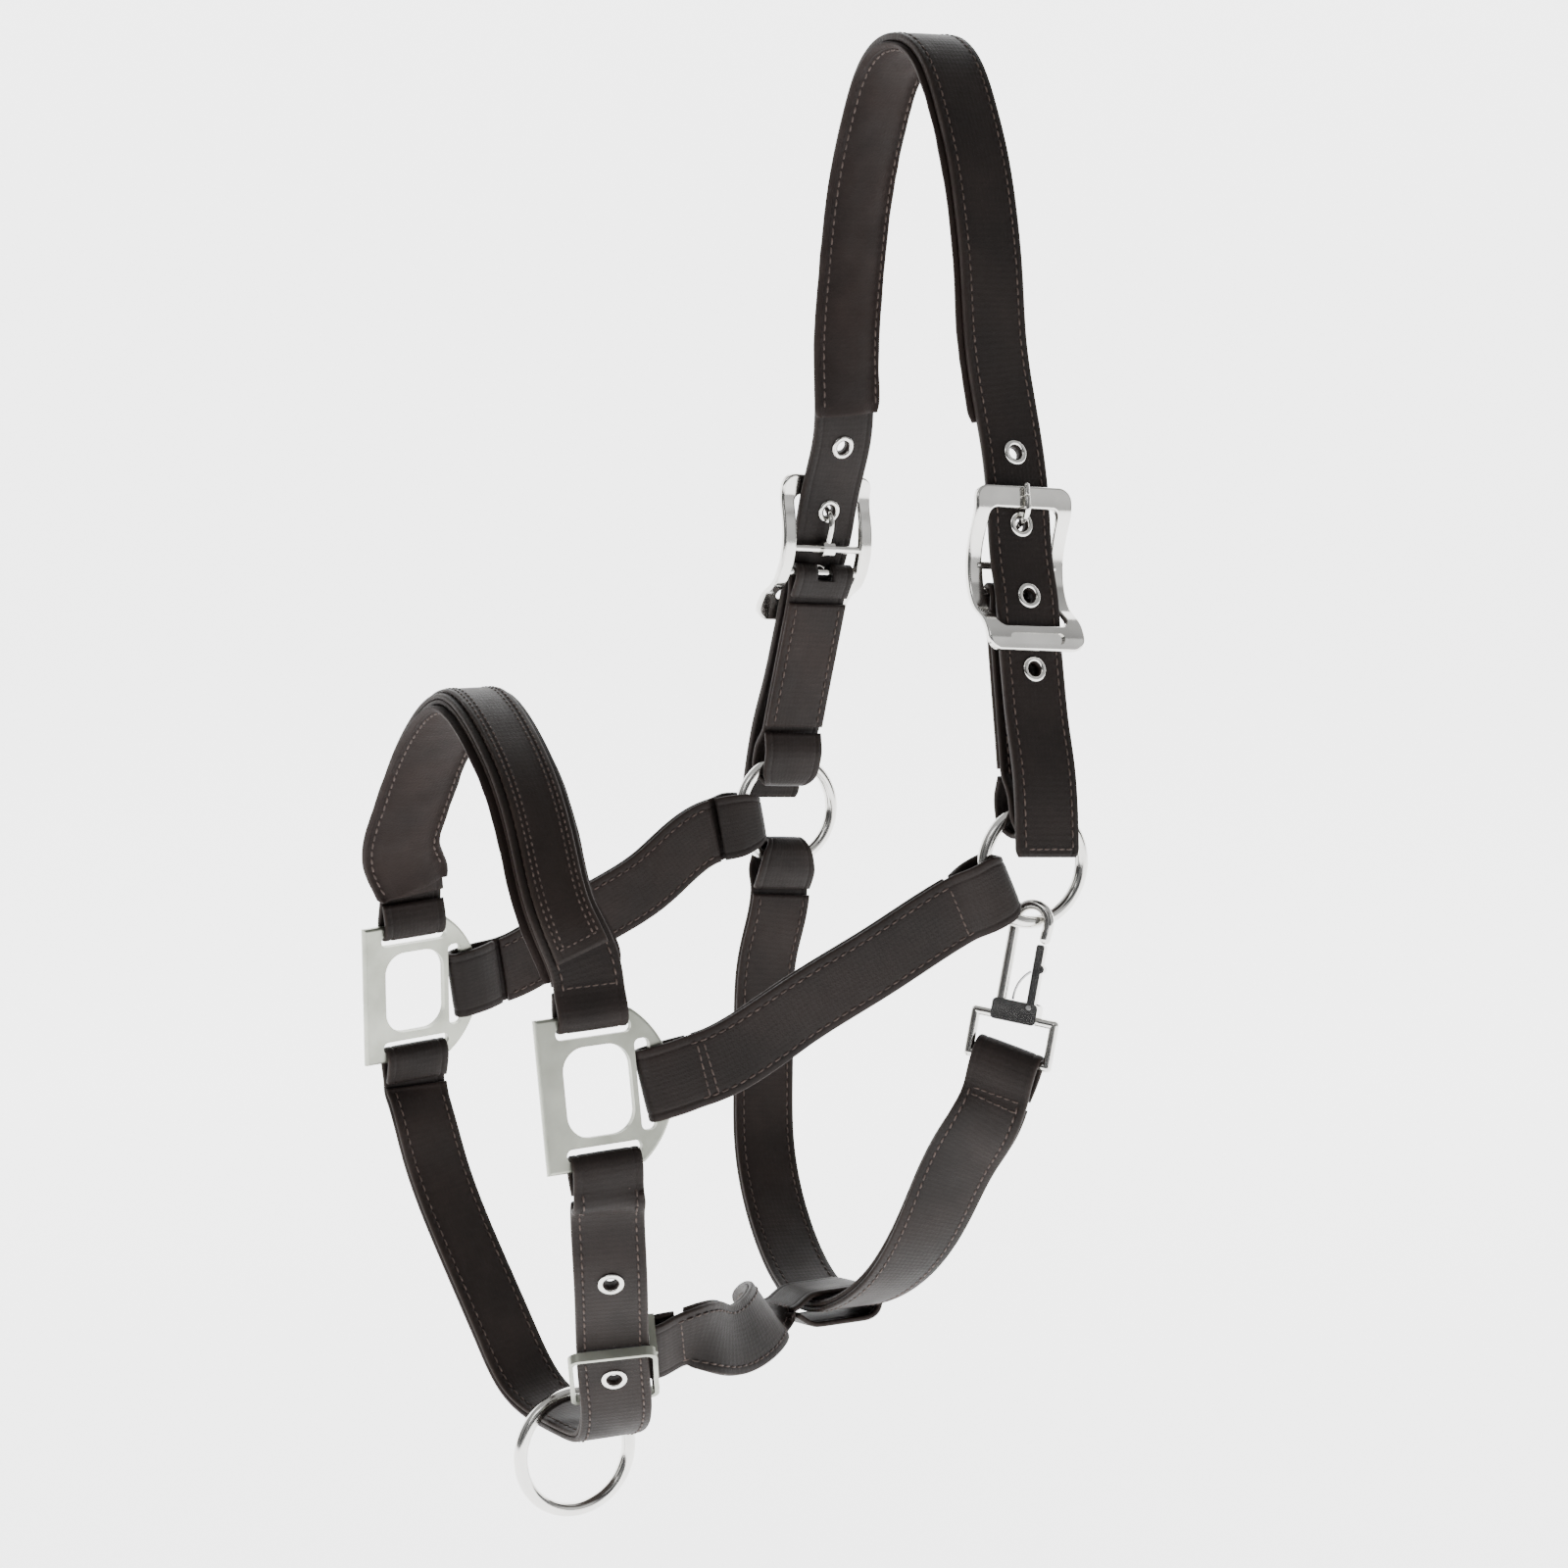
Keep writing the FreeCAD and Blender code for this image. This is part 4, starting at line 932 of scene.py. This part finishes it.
def make_ring(name, node, body, centre, mid, wire):
    """A round ring in the Y-Z plane, smoother than the one it stands for."""
    around, section = 128, 28
    verts, faces = [], []
    for i in range(around):
        turn = 2 * math.pi * i / around
        spoke = vec(0, math.cos(turn), math.sin(turn))
        for j in range(section):
            lift = 2 * math.pi * j / section
            verts.append((centre + spoke * (mid + wire * math.cos(lift)) + vec(wire * math.sin(lift), 0, 0)) * MM)
    for i in range(around):
        for j in range(section):
            k, m = (i + 1) % around, (j + 1) % section
            faces.append((i * section + j, i * section + m, k * section + m, k * section + j))
    finish_piece(mesh_object(name, verts, faces), BRIGHT, body, "bright_metal", node)


def make_metal():
    make_ring("near_ring_bright", "near_ring", "near_cheek_ring", NEAR_RING, RING_RADIUS, RING_WIRE)
    make_ring("far_ring_bright", "far_ring", "far_cheek_ring", FAR_RING, RING_RADIUS, RING_WIRE)
    make_ring("lead_ring_bright", "lead_ring", "lead", LEAD_RING, LEAD_RADIUS, LEAD_WIRE)
    make_eyelets("crown_eyelets", "crown", CROWN_LAYER + EYELET_PLAY)
    make_eyelets("chin_eyelets", "harness", 2 * LAYER + EYELET_PLAY)
    for material, nodes in METAL_NODES.items():
        for name in nodes:
            mesh = frame["nodes"][name].data
            if not mesh.materials:
                mesh.materials.append(material)
            for k in range(len(mesh.materials)):
                mesh.materials[k] = material


# ---------------------------------------------------------------- the studio

# The studio, in metres. The lamps and the cards face AIM, the middle of the object.
AIM = Vector((0, -0.09, -0.26))
FLOOR_DROP = 0.03
# The sweep's profile: distance away from the camera, and height above the floor.
SWEEP = [(-3.0, 0.0), (0.9, 0.0), (1.3, 0.05), (1.65, 0.2), (1.9, 0.5), (2.0, 0.9), (2.0, 3.0)]
SWEEP_HALF = 6
# Each lamp: its place, its size and its power in watts.
LAMPS = {"key": ((1.3, -1.6, 1.2), 1.0, 9.0),
         "fill": ((1.9, 0.9, 0.3), 1.2, 3.0),
         "rim": ((-1.2, 0.6, 1.0), 1.0, 5.0)}
# Each dark card: its place, its width and its height.
CARDS = [((1.75, -0.25, 0.25), 0.45, 1.6), ((0.75, -1.75, 0.0), 0.5, 1.6), ((1.5, -1.3, 0.9), 0.9, 0.35)]


def make_studio():
    """A pale sweep under and behind the object, a graded sky for the metal, and three soft lamps."""
    floor_level = cad_box[0][2] - FLOOR_DROP
    away = Vector((-0.8787, 0.4777, 0)).normalized()
    aside = Vector((0.4777, 0.8787, 0)).normalized()
    verts, faces = [], []
    for k, (depth, height) in enumerate(SWEEP):
        for sway in (-SWEEP_HALF, SWEEP_HALF):
            verts.append(tuple(away * depth + aside * sway + Vector((0, 0, floor_level + height))))
        if k:
            faces.append((2 * k - 2, 2 * k - 1, 2 * k + 1, 2 * k))
    mesh = bpy.data.meshes.new("sweep")
    mesh.from_pydata(verts, [], faces)
    mesh.polygons.foreach_set("use_smooth", [True] * len(mesh.polygons))
    floor = bpy.data.objects.new("floor", mesh)
    bpy.context.scene.collection.objects.link(floor)
    n = Nodes("pale_floor")
    n.link(n.ramp(n.noise(3.0), (0.92, 0.92, 0.92), (0.94, 0.94, 0.94)), n.shader.inputs["Base Color"])
    n.socket("Roughness", 0.9)
    n.socket("Emission Color", (1.0, 1.0, 1.0, 1.0))
    n.socket("Emission Strength", 3.0)
    floor.data.materials.append(n.material)
    make_world()
    for name, (place, size, power) in LAMPS.items():
        light = bpy.data.lights.new(name, "AREA")
        light.energy = power
        light.size = size
        lamp = bpy.data.objects.new(name, light)
        lamp.location = place
        aim = AIM - Vector(place)
        lamp.rotation_euler = aim.to_track_quat("-Z", "Y").to_euler()
        bpy.context.scene.collection.objects.link(lamp)


def make_world():
    """A sky that goes from dark grey at the horizon and below it to white overhead."""
    world = bpy.data.worlds.new("studio")
    world.use_nodes = True
    tree = world.node_tree
    place = tree.nodes.new("ShaderNodeTexCoord")
    split = tree.nodes.new("ShaderNodeSeparateXYZ")
    ramp = tree.nodes.new("ShaderNodeValToRGB")
    low, high = ramp.color_ramp.elements
    low.position, low.color = 0.0, (0.16, 0.16, 0.165, 1)
    high.position, high.color = 0.8, (1.0, 1.0, 1.0, 1)
    tree.links.new(place.outputs["Generated"], split.inputs[0])
    tree.links.new(split.outputs["Z"], ramp.inputs["Fac"])
    tree.links.new(ramp.outputs["Color"], tree.nodes["Background"].inputs["Color"])
    tree.nodes["Background"].inputs["Strength"].default_value = 0.6
    bpy.context.scene.world = world


def make_cards():
    """Dark cards beside and behind the camera, for the metal to reflect. Views from behind take them in."""
    n = Nodes("dark_card")
    n.socket("Base Color", (0.012, 0.012, 0.013, 1.0))
    n.socket("Roughness", 1.0)
    n.socket("Specular IOR Level", 0.0)
    for k, (place, wide, tall) in enumerate(CARDS):
        bpy.ops.mesh.primitive_plane_add(size=1, location=place)
        card = bpy.context.object
        card.name = "card_%d" % k
        card.scale = (wide, tall, 1)
        aim = AIM - Vector(place)
        card.rotation_euler = aim.to_track_quat("Z", "Y").to_euler()
        card.data.materials.append(n.material)


CAMERA_PLACE = (1.1728, -0.6930, -0.1077)
CAMERA_LOOK = (-0.8727, 0.4745, -0.1156)


def make_camera():
    camera = bpy.data.cameras.new("camera")
    camera.lens = 85
    camera.sensor_width = 36
    holder = bpy.data.objects.new("camera", camera)
    holder.location = CAMERA_PLACE
    holder.rotation_euler = Vector(CAMERA_LOOK).to_track_quat("-Z", "Y").to_euler()
    bpy.context.scene.collection.objects.link(holder)
    bpy.context.scene.camera = holder


make_camera()
make_studio()
make_cards()
make_crown()
make_chapes()
make_noseband()
make_cheeks()
make_chin()
throat_line, throat_across = make_throat()
make_connector(throat_line, throat_across)
make_metal()
